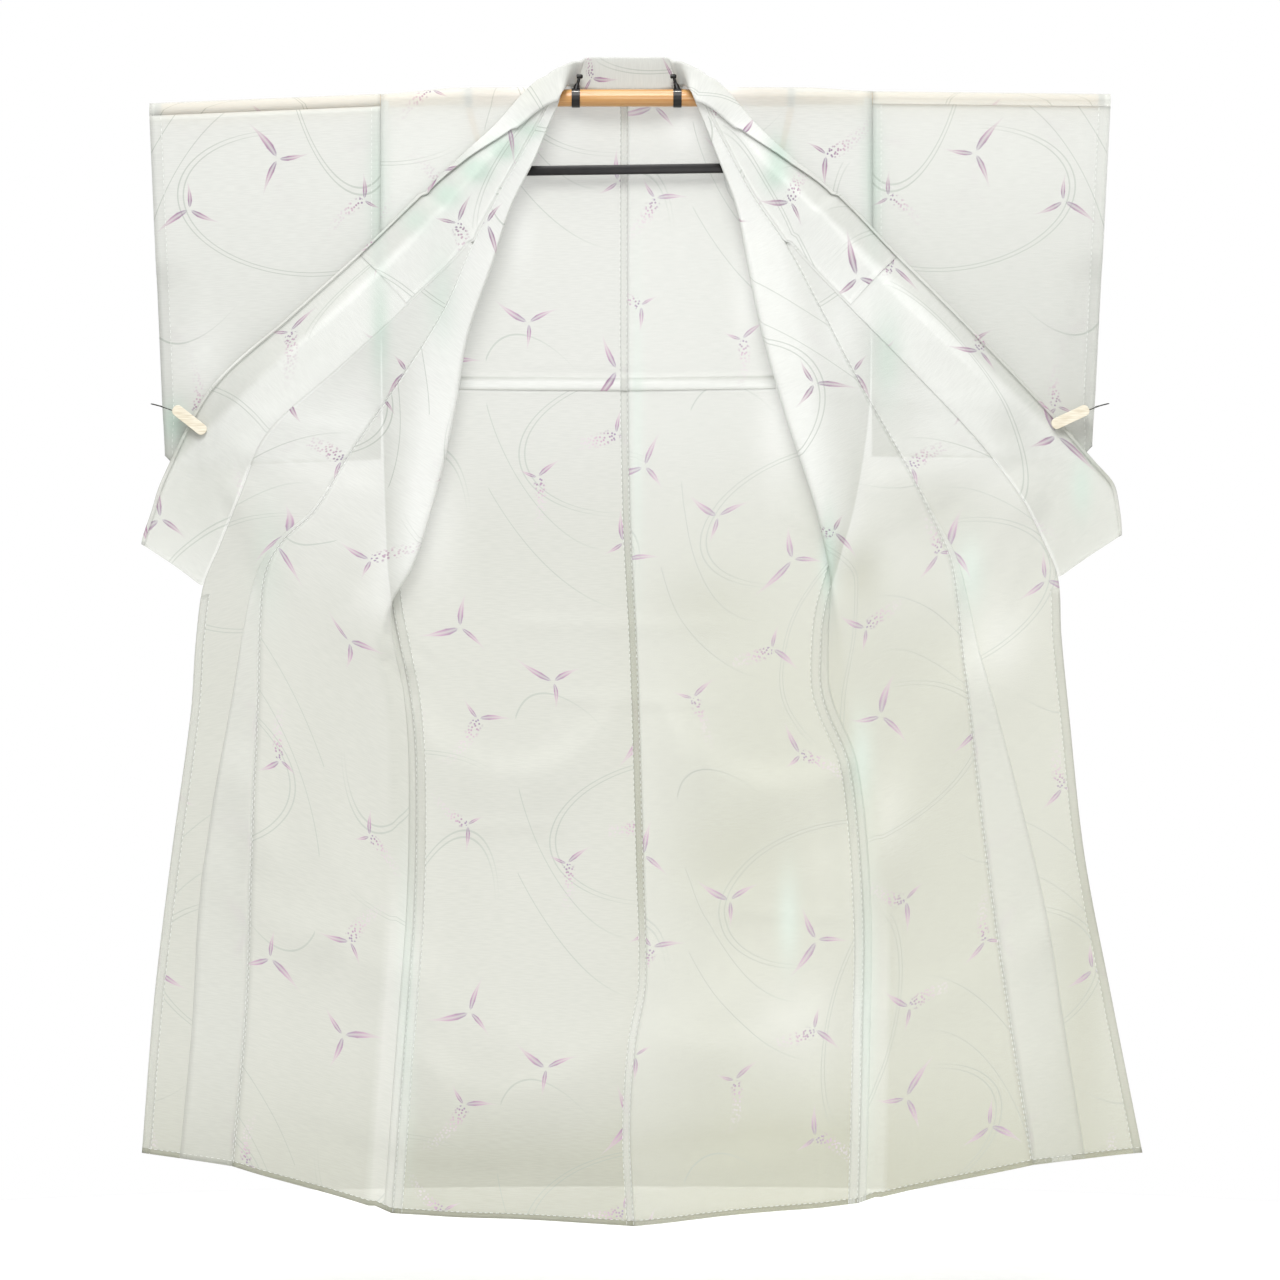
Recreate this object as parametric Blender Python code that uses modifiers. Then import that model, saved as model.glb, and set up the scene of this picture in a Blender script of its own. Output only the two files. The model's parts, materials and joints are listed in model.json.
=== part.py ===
"""A sheer summer kimono hung open on an extending wooden hanger rod.

Metres, +Z up. The origin is the centre of the rod, the rod runs along X, and the viewer who sees the
opened fronts stands on the -Y side. The left of the picture is -X.

The body panels hang behind the rod, come over it and down in front, and there each front is folded
back outward, so that its inside shows. The collar is a strip pressed in half along its middle, which
opens on its way down to the peg at the sleeve.
"""

import math
from collections import namedtuple

import bmesh
import bpy
from mathutils import Vector

# Cloth walls and the room between pieces
CLOTH = 0.0012
OVERLAY = 0.0010
SEAM_GAP = 0.0003
OVERLAY_LIFT = CLOTH / 2 + SEAM_GAP + OVERLAY / 2 + 0.0001

# Garment sizes
LENGTH = 1.567
ARMHOLE = 0.23
SIDE_SEAM_START = 0.36
SLEEVE_OPENING = 0.23
OVERLAP_START = 0.23
COLLAR_END = 0.77
OVER_COLLAR_END = 0.34
LINING_START = 0.08
TUCK_TOP = 0.386
TUCK_EDGE = 0.404
TUCK_UNDER = 0.4065
TUCK_RISE = 0.0022
NECK_BACK_Y = 0.0235
CENTRE_X = -0.003

# Hanger sizes
ROD_RADIUS = 0.0120
ARM_RADIUS = 0.0090
ROD_HALF = 0.224
ARM_END = 0.660
BAND_RADIUS = 0.0130
BAND_WIDTH = 0.009
CAP_RADIUS = 0.0098
CAP_WIDTH = 0.009
CLAMP_WIDTH = 0.0115
CLAMP_RADIUS = 0.0134
BAR_HALF = 0.210
BAR_Z = -0.0993
BAR_HEIGHT = 0.0135
BAR_DEPTH = 0.0080
BAR_TILT = 0.014
ROUND_SIDES = 24

LEFT, RIGHT = -1, 1

# Across and down, for each side of the body seen from the front. `down` is the length of cloth from
# the shoulder, `out` is the distance from the centre line x = 0, and `drop` the height below the rod.
Run = namedtuple("Run", "down side_out fold_out seam_out seam_drop edge_out edge_drop")
RUNS = {
    LEFT: [
        Run(0.00, 0.346, 0.097, 0.108, 0.000, 0.108, 0.000),
        Run(0.03, 0.346, 0.111, 0.120, 0.026, 0.120, 0.026),
        Run(0.08, 0.346, 0.131, 0.146, 0.073, 0.146, 0.073),
        Run(0.15, 0.346, 0.165, 0.182, 0.137, 0.186, 0.135),
        Run(0.23, 0.346, 0.190, 0.217, 0.206, 0.221, 0.203),
        Run(0.33, 0.345, 0.223, 0.257, 0.297, 0.300, 0.283),
        Run(0.45, 0.343, 0.243, 0.321, 0.399, 0.400, 0.375),
        Run(0.57, 0.340, 0.271, 0.388, 0.497, 0.501, 0.468),
        Run(0.66, 0.336, 0.300, 0.436, 0.574, 0.542, 0.561),
        Run(0.72, 0.329, 0.333, 0.479, 0.614, 0.568, 0.624),
        Run(0.77, 0.319, 0.343, 0.503, 0.655, 0.590, 0.676),
        Run(0.85, 0.304, 0.331, 0.512, 0.724, 0.601, 0.756),
        Run(0.95, 0.297, 0.325, 0.515, 0.829, 0.608, 0.853),
        Run(1.15, 0.300, 0.328, 0.524, 1.050, 0.635, 1.050),
        Run(1.35, 0.315, 0.343, 0.532, 1.267, 0.659, 1.249),
        Run(1.567, 0.331, 0.359, 0.551, 1.482, 0.676, 1.463),
    ],
    RIGHT: [
        Run(0.00, 0.336, 0.088, 0.099, 0.000, 0.099, 0.000),
        Run(0.03, 0.336, 0.101, 0.110, 0.026, 0.110, 0.026),
        Run(0.08, 0.336, 0.120, 0.135, 0.073, 0.135, 0.073),
        Run(0.15, 0.336, 0.146, 0.169, 0.136, 0.173, 0.134),
        Run(0.23, 0.336, 0.162, 0.216, 0.206, 0.220, 0.203),
        Run(0.33, 0.335, 0.182, 0.264, 0.295, 0.296, 0.285),
        Run(0.45, 0.331, 0.215, 0.319, 0.401, 0.388, 0.379),
        Run(0.57, 0.313, 0.253, 0.379, 0.506, 0.479, 0.476),
        Run(0.66, 0.289, 0.272, 0.419, 0.585, 0.540, 0.555),
        Run(0.72, 0.272, 0.284, 0.443, 0.639, 0.571, 0.614),
        Run(0.77, 0.266, 0.290, 0.452, 0.688, 0.592, 0.665),
        Run(0.85, 0.268, 0.296, 0.461, 0.774, 0.597, 0.746),
        Run(0.95, 0.305, 0.331, 0.472, 0.868, 0.607, 0.846),
        Run(1.15, 0.323, 0.351, 0.496, 1.067, 0.629, 1.046),
        Run(1.35, 0.322, 0.350, 0.524, 1.265, 0.667, 1.245),
        Run(1.567, 0.317, 0.345, 0.558, 1.480, 0.710, 1.463),
    ],
}

# How far each line stands in front of the rod's centre, the same on both sides. `roll` is the radius
# of the soft fold, and `back` the depth of the back's middle behind the rod's centre.
Depth = namedtuple("Depth", "down side fold roll seam edge back")
DEPTHS = [
    Depth(0.00, 0.0108, 0.0148, 0.0045, 0.0245, 0.0245, 0.0225),
    Depth(0.03, 0.0106, 0.0148, 0.0045, 0.0255, 0.0255, 0.0205),
    Depth(0.08, 0.0103, 0.0147, 0.0055, 0.0280, 0.0280, 0.0180),
    Depth(0.15, 0.0098, 0.0146, 0.0075, 0.0340, 0.0342, 0.0160),
    Depth(0.23, 0.0093, 0.0145, 0.0090, 0.0400, 0.0402, 0.0150),
    Depth(0.36, 0.0008, 0.0145, 0.0090, 0.0450, 0.0480, 0.0145),
    Depth(0.45, 0.0008, 0.0145, 0.0090, 0.0460, 0.0500, 0.0140),
    Depth(0.57, 0.0008, 0.0150, 0.0085, 0.0440, 0.0500, 0.0130),
    Depth(0.66, 0.0008, 0.0170, 0.0070, 0.0400, 0.0460, 0.0110),
    Depth(0.72, 0.0010, 0.0220, 0.0050, 0.0350, 0.0380, 0.0100),
    Depth(0.77, 0.0020, 0.0180, 0.0050, 0.0310, 0.0320, 0.0090),
    Depth(0.85, 0.0030, 0.0100, 0.0050, 0.0250, 0.0290, 0.0080),
    Depth(0.95, 0.0040, 0.0070, 0.0050, 0.0190, 0.0260, 0.0070),
    Depth(1.15, 0.0040, 0.0050, 0.0050, 0.0130, 0.0230, 0.0060),
    Depth(1.35, 0.0020, 0.0030, 0.0050, 0.0110, 0.0220, 0.0050),
    Depth(1.567, 0.0000, 0.0020, 0.0050, 0.0120, 0.0230, 0.0050),
]

# The centre back seam, which wanders sideways on its way down.
Centre = namedtuple("Centre", "down x")
CENTRES = [
    Centre(0.00, -0.003),
    Centre(0.40, -0.003),
    Centre(0.60, 0.001),
    Centre(0.77, 0.010),
    Centre(1.07, 0.019),
    Centre(1.23, 0.022),
    Centre(1.31, 0.008),
    Centre(1.43, 0.000),
    Centre(1.567, 0.006),
]

# Soft folds of the hanging skirt: a crest line from its top to its bottom, its half width, and how
# far it comes forward (or goes back, where it is negative).
Fold = namedtuple("Fold", "top_x top_z end_x end_z half_width rise")
FOLDS = [
    Fold(-0.470, -0.62, -0.520, -1.50, 0.045, 0.010),
    Fold(-0.385, -0.70, -0.400, -1.52, 0.050, -0.012),
    Fold(-0.300, -0.72, -0.240, -1.56, 0.045, 0.010),
    Fold(-0.150, -0.80, -0.130, -1.60, 0.060, -0.008),
    Fold(-0.020, -0.85, 0.040, -1.60, 0.050, 0.007),
    Fold(0.150, -0.78, 0.140, -1.60, 0.055, -0.009),
    Fold(0.262, -0.68, 0.260, -1.56, 0.040, 0.012),
    Fold(0.380, -0.70, 0.400, -1.52, 0.055, -0.011),
    Fold(0.500, -0.66, 0.545, -1.50, 0.050, 0.010),
    Fold(0.640, -0.95, 0.680, -1.50, 0.040, -0.008),
]

# The collar across its width, measured from its seam: `along` is the way from the centre back,
# `lean` the direction of the strip in degrees above outward, then the distances from the seam to the
# pressed crease and to the turned edge, the width of the flap that comes back over it, the radius of
# that turn, how far crease and edge stand in front of the seam, and how many degrees the flap's side
# of the strip looks inward instead of to the front, and how far the flap's edge stands off the strip.
Section = namedtuple("Section", "along lean crease edge flap turn crease_front edge_front inward off")
SECTIONS = [
    Section(0.000, 90, 0.052, 0.059, 0.0460, 0.0022, -0.001, 0.000, 0, 0.000),
    Section(0.050, 89, 0.052, 0.059, 0.0460, 0.0022, -0.001, 0.000, 0, 0.000),
    Section(0.080, 99, 0.051, 0.058, 0.0420, 0.0022, 0.000, 0.000, 12, 0.000),
    Section(0.094, 107, 0.050, 0.058, 0.0390, 0.0022, 0.001, 0.001, 30, 0.000),
    Section(0.101, 109, 0.041, 0.049, 0.0370, 0.0024, 0.002, 0.002, 48, 0.001),
    Section(0.108, 111, 0.030, 0.038, 0.0350, 0.0026, 0.001, 0.002, 62, 0.004),
    Section(0.115, 113, 0.022, 0.031, 0.0340, 0.0028, 0.000, 0.000, 70, 0.008),
    Section(0.123, 105, 0.018, 0.027, 0.0360, 0.0028, -0.003, -0.005, 66, 0.012),
    Section(0.130, 86, 0.018, 0.028, 0.037, 0.0028, -0.004, -0.007, 52, 0.0085),
    Section(0.137, 65, 0.020, 0.031, 0.0370, 0.0028, -0.003, -0.006, 36, 0.004),
    Section(0.167, 50, 0.025, 0.041, 0.0310, 0.0028, 0.001, -0.006, 14, 0.002),
    Section(0.217, 45, 0.028, 0.051, 0.0220, 0.0028, 0.006, -0.008, 4, 0.000),
    Section(0.287, 45, 0.043, 0.073, 0.009, 0.0028, 0.012, -0.013, 0, 0.000),
    Section(0.367, 45, 0.060, 0.096, 0.004, 0.0024, 0.013, -0.018, 0, 0.000),
    Section(0.467, 45, 0.057, 0.098, 0.003, 0.0022, 0.009, -0.024, 0, 0.000),
    Section(0.587, 45, 0.059, 0.099, 0.003, 0.0022, 0.006, -0.027, 0, 0.000),
    Section(0.687, 43, 0.062, 0.100, 0.003, 0.0022, 0.001, -0.028, 0, 0.000),
    Section(0.747, 36, 0.060, 0.104, 0.003, 0.0022, -0.008, -0.027, 0, 0.000),
    Section(0.797, 22, 0.055, 0.107, 0.003, 0.0022, -0.012, -0.022, 0, 0.000),
    Section(0.857, 29, 0.052, 0.104, 0.003, 0.0022, -0.006, -0.012, 0, 0.000),
    Section(0.907, 33, 0.051, 0.102, 0.003, 0.0022, -0.002, -0.005, 0, 0.000),
]
NECK_ALONG = 0.094
SHOULDER_ALONG = 0.137

# How far each peg draws the collar's edge outward, along the collar's length from the centre back
PEG_PULL = {LEFT: 0.003, RIGHT: 0.017}
PEG_ALONG = 0.838
PEG_SPREAD = 0.055

# Rows of the meshes, as lengths of cloth below the shoulder
SHARED_ROWS = [0.015, 0.03, 0.05, 0.08, 0.115, 0.15, 0.19, 0.23, 0.28, 0.34, 0.40, 0.45, 0.50, 0.55]
SHARED_ROWS += [0.60, 0.64, 0.68, 0.71, 0.74, 0.77]
SKIRT_ROWS = [0.84, 0.93, 1.03, 1.14, 1.25, 1.36, 1.47, LENGTH]
TUCK_ROWS = [TUCK_TOP, TUCK_EDGE, TUCK_UNDER]
WRAP_STEPS = 6
FIRST_LAYER_STEPS, ROLL_STEPS, SECOND_LAYER_STEPS, NECK_STEPS = 4, 3, 4, 3
FRONT_STEPS = FIRST_LAYER_STEPS + ROLL_STEPS + SECOND_LAYER_STEPS


def smooth(t):
    t = min(max(t, 0.0), 1.0)
    return t * t * (3 - 2 * t)


def mix(a, b, t):
    return a + (b - a) * t


def slope(rows, i, name):
    """The slope of a column at row i, from its neighbours."""
    low, high = max(i - 1, 0), min(i + 1, len(rows) - 1)
    rise = getattr(rows[high], name) - getattr(rows[low], name)
    return rise / (rows[high][0] - rows[low][0])


def read(rows, at, name):
    """A table's column at a value of its first column, on a smooth curve through the rows."""
    at = min(max(at, rows[0][0]), rows[-1][0])
    i = max(k for k, row in enumerate(rows[:-1]) if row[0] <= at)
    step = rows[i + 1][0] - rows[i][0]
    t = (at - rows[i][0]) / step
    a, b = getattr(rows[i], name), getattr(rows[i + 1], name)
    rise_a, rise_b = slope(rows, i, name) * step, slope(rows, i + 1, name) * step
    return (
        a * (1 + 2 * t) * (1 - t) ** 2
        + rise_a * t * (1 - t) ** 2
        + b * t * t * (3 - 2 * t)
        - rise_b * t * t * (1 - t)
    )


def rod_height(x):
    """The height of the hanger's axis: level in its middle length, and drooping along both arms."""
    droop = 0.0180 if x < 0 else 0.0050
    return -droop * max((abs(x) - ROD_HALF) / (ARM_END - ROD_HALF), 0)


def wrap_radius(x):
    """The radius of the cloth round the hanger, wider over its thick middle length."""
    return mix(0.0148, 0.0108, smooth((abs(x) - 0.245) / 0.09))


def skirt_folds(x, z):
    """How far the soft folds of the skirt bring a point forward."""
    total = 0.0
    for fold in FOLDS:
        t = (z - fold.top_z) / (fold.end_z - fold.top_z)
        crest_x = mix(fold.top_x, fold.end_x, t)
        fade = smooth(t / 0.35)
        total += fold.rise * fade * math.exp(-(((x - crest_x) / fold.half_width) ** 2))
    return total


def hung(point):
    """A point of the skirt with the soft folds added."""
    return Vector((point.x, point.y - skirt_folds(point.x, point.z), point.z))


def side_point(side, down, front):
    """The side edge of the body panel, in front or behind."""
    x = side * read(RUNS[side], down, "side_out")
    hem_lift = (0.018 if side == LEFT else 0.032) * smooth(down / LENGTH)
    z = rod_height(x) * (1 - smooth(down / 0.4)) - down + hem_lift
    depth = read(DEPTHS, down, "side")
    if down <= ARMHOLE:
        depth = mix(0.0108, 0.0093, down / ARMHOLE)
    if down < SIDE_SEAM_START:
        return Vector((x, -depth if front else depth, z))
    # Face to face where the front is folded over the back, edge to edge below that
    opened = smooth((down - 0.60) / 0.14)
    apart_y = (CLOTH + SEAM_GAP) / 2 * (1 - opened)
    apart_x = side * SEAM_GAP / 2 * opened
    away = 1 if front else -1
    y = -max(depth - 0.0008, 0.0) - away * apart_y
    return Vector((x + away * apart_x, y, z))


def edge_run(side, down, line):
    """A point on the seam or the outer edge of a front, from the two tables."""
    out = read(RUNS[side], down, line + "_out")
    drop = read(RUNS[side], down, line + "_drop")
    return Vector((side * out, -read(DEPTHS, down, line), -drop))


def turned(start, heading, inward, radius, angle, step):
    """A point on a fold that starts in one direction and turns by an angle."""
    t = angle * step
    return start + heading * (radius * math.sin(t)) + inward * (radius * (1 - math.cos(t)))


def folded_section(side, first, tip, last, radius):
    """Points across a front: the first layer, the roll at its tip and the second layer."""
    heading = (tip - first).normalized()
    flat = Vector((heading.x, heading.y, 0)).normalized()
    toward = Vector((-side * flat.y, side * flat.x, 0))
    leaving = (last - tip).normalized()
    angle = math.atan2(max(leaving.dot(toward), 0.02), leaving.dot(flat))
    radius = max(radius, 0.009 / angle)
    start = tip - flat * min(radius * math.tan(min(angle, 1.5) / 2), radius)
    points = [first.lerp(start, k / FIRST_LAYER_STEPS) for k in range(FIRST_LAYER_STEPS)]
    points += [turned(start, flat, toward, radius, angle, k / ROLL_STEPS) for k in range(ROLL_STEPS)]
    after = turned(start, flat, toward, radius, angle, 1)
    points += [after.lerp(last, k / SECOND_LAYER_STEPS) for k in range(SECOND_LAYER_STEPS + 1)]
    return points


def front_section(side, down):
    """Points across the front panel at one length of cloth, from the side edge to the seam."""
    first = side_point(side, down, front=True)
    tip_x = side * read(RUNS[side], down, "fold_out")
    tip = Vector((tip_x, -read(DEPTHS, down, "fold"), first.z))
    last = edge_run(side, down, "seam")
    tip.z = mix(first.z, last.z, smooth((down - 0.66) / 0.2) * 0.15)
    points = folded_section(side, first, tip, last, read(DEPTHS, down, "roll"))
    loose = smooth((down - 0.60) / 0.25)
    return [p.lerp(hung(p), loose) for p in points]


def shoulder_section(side, turn):
    """Points across the panel where it lies on the hanger. turn is 0 behind it and 1 in front."""
    around = math.pi * turn
    up = Vector((0, math.cos(around), math.sin(around)))
    inward = Vector((-side, 0, 0))
    side_x = side * read(RUNS[side], 0, "side_out")
    tip_x = side * (read(RUNS[side], 0, "fold_out") - 0.007 * (1 - turn))
    angle = math.radians(mix(2, 175, smooth(turn)))
    radius = max(0.0035, 0.007 / angle)
    reach = min(radius * math.tan(min(angle, 1.5) / 2), radius)

    def on_hanger(x):
        return Vector((x, 0, rod_height(x))) + up * wrap_radius(x)

    start_x = tip_x - inward.x * reach
    points = [on_hanger(mix(side_x, start_x, k / FIRST_LAYER_STEPS)) for k in range(FIRST_LAYER_STEPS)]
    start = on_hanger(start_x)
    points += [turned(start, inward, up, radius, angle, k / ROLL_STEPS) for k in range(ROLL_STEPS)]
    after = turned(start, inward, up, radius, angle, 1)
    last = after + (inward * math.cos(angle) + up * math.sin(angle)) * 0.004
    points += [after.lerp(last, k / SECOND_LAYER_STEPS) for k in range(SECOND_LAYER_STEPS + 1)]
    return points


def back_section(side, down):
    """Points across the back panel, from the side edge to the centre back seam."""
    top = shoulder_section(side, 0)
    steps = FRONT_STEPS + NECK_STEPS
    centre_x = CENTRE_X + side * SEAM_GAP / 2
    top += [
        Vector((mix(top[-1].x, centre_x, k / NECK_STEPS), 0, 0)) for k in range(1, NECK_STEPS + 1)
    ]
    for k, p in enumerate(top):
        if k > FRONT_STEPS:
            rise = smooth((k - FRONT_STEPS) / NECK_STEPS * 1.5)
            p.y = mix(wrap_radius(top[FRONT_STEPS].x), NECK_BACK_Y, rise)
    edge = side_point(side, down, front=False) if down else top[0]
    middle = Vector((read(CENTRES, down, "x") + side * SEAM_GAP / 2, read(DEPTHS, down, "back"), -down))
    spread = smooth(down / 0.2)
    points = []
    for k, p in enumerate(top):
        near_top = (p.x - top[0].x) / (top[-1].x - top[0].x)
        across = mix(near_top, k / steps, spread)
        y = mix(edge.y, middle.y, math.sin(math.pi / 2 * min(across / 0.6, 1)))
        y = mix(p.y, y, smooth(down / 0.12))
        y -= tuck(down) * smooth(across * 5)
        x, z = mix(edge.x, middle.x, across), mix(edge.z, middle.z, across)
        if down < 0.2:
            z = mix(p.z, z + down, spread) - down
        point = Vector((x, y, z))
        points.append(point.lerp(hung(point), smooth((down - 0.60) / 0.25)))
    return points


def tuck(down):
    """The tuck taken across the back: it rises to its folded edge and falls back under it."""
    if down < TUCK_TOP or down > TUCK_UNDER - 0.0001:
        return 0.0
    return TUCK_RISE * smooth((down - TUCK_TOP) / (TUCK_EDGE - TUCK_TOP))


def overlap_section(side, down):
    """Points across the overlap panel, from its seam to the collar or its free edge."""
    seam, edge = edge_run(side, down, "seam"), edge_run(side, down, "edge")
    start = seam + (edge - seam).normalized() * SEAM_GAP
    loose = smooth((down - 0.60) / 0.25)
    points = [start.lerp(edge, k / 3) for k in range(4)]
    return [p.lerp(hung(p), loose) for p in points]


def neck_line(side):
    """The edge that the collar is sewn to, from the centre back to the collar's end.

    Each entry is the way from the centre back, the point, and the direction in which the cloth ends."""
    line = []
    back = back_section(side, 0)
    for k in range(len(back) - 1, FRONT_STEPS, -1):
        line.append((NECK_ALONG * (len(back) - 1 - k) / NECK_STEPS, back[k], Vector((0, 0, 1))))
    for k in range(WRAP_STEPS + 1):
        points = shoulder_section(side, k / WRAP_STEPS)
        along = mix(NECK_ALONG, SHOULDER_ALONG, k / WRAP_STEPS)
        ends = Vector((0, 0, 1)).lerp((points[-1] - points[-2]).normalized(), min(k / 3, 1))
        line.append((along, points[-1], ends.normalized()))
    for down in SHARED_ROWS:
        points = front_section(side, down) if down < OVERLAP_START else overlap_section(side, down)
        line.append((SHOULDER_ALONG + down, points[-1], (points[-1] - points[-2]).normalized()))
    return line


def beside(way, toward):
    """The direction at a right angle to a way, on the side that looks toward."""
    return (toward - way * toward.dot(way)).normalized()


def collar_section(side, along, seam, ends):
    """Points across the collar: seam half, crease, far half, its turned edge and the flap."""
    lean = math.radians(read(SECTIONS, along, "lean"))
    direction = Vector((side * math.cos(lean), 0, math.sin(lean)))
    forward = Vector((0, -1, 0))
    crease = seam + direction * read(SECTIONS, along, "crease")
    crease += forward * read(SECTIONS, along, "crease_front")
    pull = PEG_PULL[side] * math.exp(-(((along - PEG_ALONG) / PEG_SPREAD) ** 2))
    edge = seam + direction * (read(SECTIONS, along, "edge") + pull)
    edge += forward * read(SECTIONS, along, "edge_front")
    radius = read(SECTIONS, along, "turn")
    start, second = seam + ends * SEAM_GAP, seam + ends * 0.004
    crease_round = min(0.006, (edge - crease).length * 0.3)
    before = crease + (second - crease).normalized() * crease_round
    after = crease + (edge - crease).normalized() * crease_round
    heading = (edge - crease).normalized()
    inward = math.radians(read(SECTIONS, along, "inward"))
    toward = Vector((-side * math.sin(inward), -math.cos(inward), 0))
    inside = beside(heading, toward)
    top = edge - heading * radius
    points = [start, second, second.lerp(before, 0.5), before, (before + after + crease * 2) / 4]
    points += [after, after.lerp(top, 0.5), top]
    points += [turned(top, heading, inside, radius, math.pi, k / 3) for k in (1, 2, 3)]
    flap = read(SECTIONS, along, "flap")
    room = (top - crease).length
    down_heading = (second - crease).normalized()
    below = beside(down_heading, toward)
    for share in (0.5, 1.0):
        way = flap * share
        if way <= room:
            place = top - heading * way + inside * radius * 2
        else:
            place = crease + down_heading * (way - room) + below * radius * 2
        points.append(place + toward * read(SECTIONS, along, "off") * share)
    return points


def collar_rows(side):
    """The collar's points from the centre back to its end, a row for each point of the neck line."""
    return [(along, collar_section(side, along, seam, ends)) for along, seam, ends in neck_line(side)]


def both_ways():
    """The whole collar as rows of points, from the left end over the centre back to the right end."""
    left, right = collar_rows(LEFT), collar_rows(RIGHT)
    centre = [(a + b) / 2 for a, b in zip(left[0][1], right[0][1], strict=True)]
    rows = [(-along, points) for along, points in reversed(left[1:])]
    return [*rows, (0.0, centre), *right[1:]]


def facing(rows, i, j):
    """The direction in which one face of the grid looks."""
    i, j = min(max(i, 0), len(rows) - 2), min(max(j, 0), len(rows[0]) - 2)
    one = rows[i + 1][j + 1] - rows[i][j]
    other = rows[i + 1][j] - rows[i][j + 1]
    return one.cross(other).normalized()


def moved_out(rows, distance):
    """The same rows moved off their surface by a distance, a little further at the bends."""
    moved = []
    for i, row in enumerate(rows):
        line = []
        for j, point in enumerate(row):
            faces = [facing(rows, i - a, j - b) for a in (0, 1) for b in (0, 1)]
            normal = sum(faces, Vector()).normalized()
            bend = max(min(normal.dot(face) for face in faces), 0.6)
            line.append(point + normal * distance / bend)
        moved.append(line)
    return moved


def material(name, colour, roughness, metallic=0.0, alpha=1.0):
    made = bpy.data.materials.get(name) or bpy.data.materials.new(name)
    made.use_nodes = True
    shader = made.node_tree.nodes["Principled BSDF"]
    shader.inputs["Base Color"].default_value = (*colour, 1)
    shader.inputs["Roughness"].default_value = roughness
    shader.inputs["Metallic"].default_value = metallic
    shader.inputs["Alpha"].default_value = alpha
    return made


def sheer_cloth():
    return material("printed_sheer_cloth", (0.82, 0.83, 0.79), 0.75)


def lining_cloth():
    return material("plain_collar_lining", (0.88, 0.90, 0.88), 0.70)


def hanger_wood():
    return material("hanger_wood", (0.72, 0.47, 0.22), 0.45)


def black_plastic():
    return material("black_plastic", (0.02, 0.02, 0.022), 0.40)


def peg_wood():
    return material("peg_wood", (0.80, 0.74, 0.62), 0.55)


def dark_wire():
    return material("dark_wire", (0.05, 0.05, 0.05), 0.40, metallic=0.8)


def finished(name, mesh, surface):
    """An object of this mesh in the kimono's collection."""
    mesh.name = name
    made = bpy.data.objects.new(name, mesh)
    made.data.materials.append(surface)
    kimono.objects.link(made)
    return made


def cloth(name, rows, surface, thickness=CLOTH, closed=False):
    """A wall of cloth: a grid laid on rows of points, given its thickness half to each side."""
    grid = bmesh.new()
    bmesh.ops.create_grid(grid, x_segments=len(rows[0]) - 1, y_segments=len(rows) - 1, size=0.5)
    corners = sorted(grid.verts, key=lambda v: (round(v.co.y, 5), round(v.co.x, 5)))
    places = [point for row in rows for point in row]
    unused = []
    for corner, place in zip(corners, places, strict=True):
        if place is None:
            unused.append(corner)
        else:
            corner.co = place
    bmesh.ops.delete(grid, geom=unused, context="VERTS")
    # One way to cut the squares in two, so that layers that lie on each other bend alike
    bmesh.ops.triangulate(grid, faces=grid.faces, quad_method="FIXED")
    if closed:
        bmesh.ops.remove_doubles(grid, verts=grid.verts, dist=0.00005)
    mesh = bpy.data.meshes.new(name)
    grid.to_mesh(mesh)
    grid.free()
    made = finished(name, mesh, surface)
    wall = made.modifiers.new("Wall", "SOLIDIFY")
    wall.thickness = thickness
    wall.offset = 0
    mesh.shade_smooth()
    return made


def body_panel(side, name):
    """One length of cloth from the back hem over the shoulder to the front hem."""
    downs = sorted([*SHARED_ROWS, *SKIRT_ROWS, *TUCK_ROWS], reverse=True)
    downs.remove(0.40)
    blank = [None] * NECK_STEPS
    rows = [back_section(side, down) for down in [*downs, 0]]
    for k in range(1, WRAP_STEPS + 1):
        rows.append(shoulder_section(side, k / WRAP_STEPS) + blank)
    for down in [*SHARED_ROWS, *SKIRT_ROWS]:
        rows.append(front_section(side, down) + blank)
    return cloth(name, rows, sheer_cloth())


def overlap_panel(side, name):
    downs = [down for down in [*SHARED_ROWS, *SKIRT_ROWS] if down >= OVERLAP_START]
    return cloth(name, [overlap_section(side, down) for down in downs], sheer_cloth())


def sleeve(side, name):
    """One length of cloth folded over the arm of the hanger, closed below, open at wrist and armhole."""
    bottom = 0.494
    outer_top, outer_end = (0.667, 0.646) if side == LEFT else (0.667, 0.642)
    inner = read(RUNS[side], 0, "side_out") + SEAM_GAP
    downs = [0.03, 0.08, 0.13, 0.18, 0.20, 0.26, 0.34, 0.42, bottom]
    loop = [("front", down) for down in downs]
    loop += [("below", 0)]
    loop += [("behind", down) for down in reversed(downs)]
    loop += [("over", turn / WRAP_STEPS) for turn in range(WRAP_STEPS + 1)]
    loop.append(loop[0])
    rows = []
    for place, value in loop:
        row = []
        for across in (0, 0.16, 0.32, 0.48, 0.64, 0.80, 0.945, 1):
            down = value if place in ("front", "behind") else 0 if place == "over" else bottom
            out = mix(inner, mix(outer_top, outer_end, down / bottom), across)
            x = side * out
            depth = mix(0.0108, 0.0075, down / bottom)
            if across == 1:
                depth = mix(depth, (CLOTH + SEAM_GAP * 2) / 2, smooth((down - 0.205) / 0.05))
            round_off = 0.018 * max(across - 0.945, 0) / 0.055 * smooth((down - 0.40) / 0.08)
            z = rod_height(x) - down + round_off
            if place == "over":
                turn = math.pi * value
                row.append(Vector((x, 0.0108 * math.cos(turn), z + 0.0108 * math.sin(turn))))
            elif place == "below":
                row.append(Vector((x, 0, z - 0.003)))
            else:
                row.append(Vector((x, -depth if place == "front" else depth, z)))
        rows.append(row)
    return cloth(name, rows, sheer_cloth(), closed=True)


def collar():
    return cloth("collar", [points for _, points in both_ways()], sheer_cloth())


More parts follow.
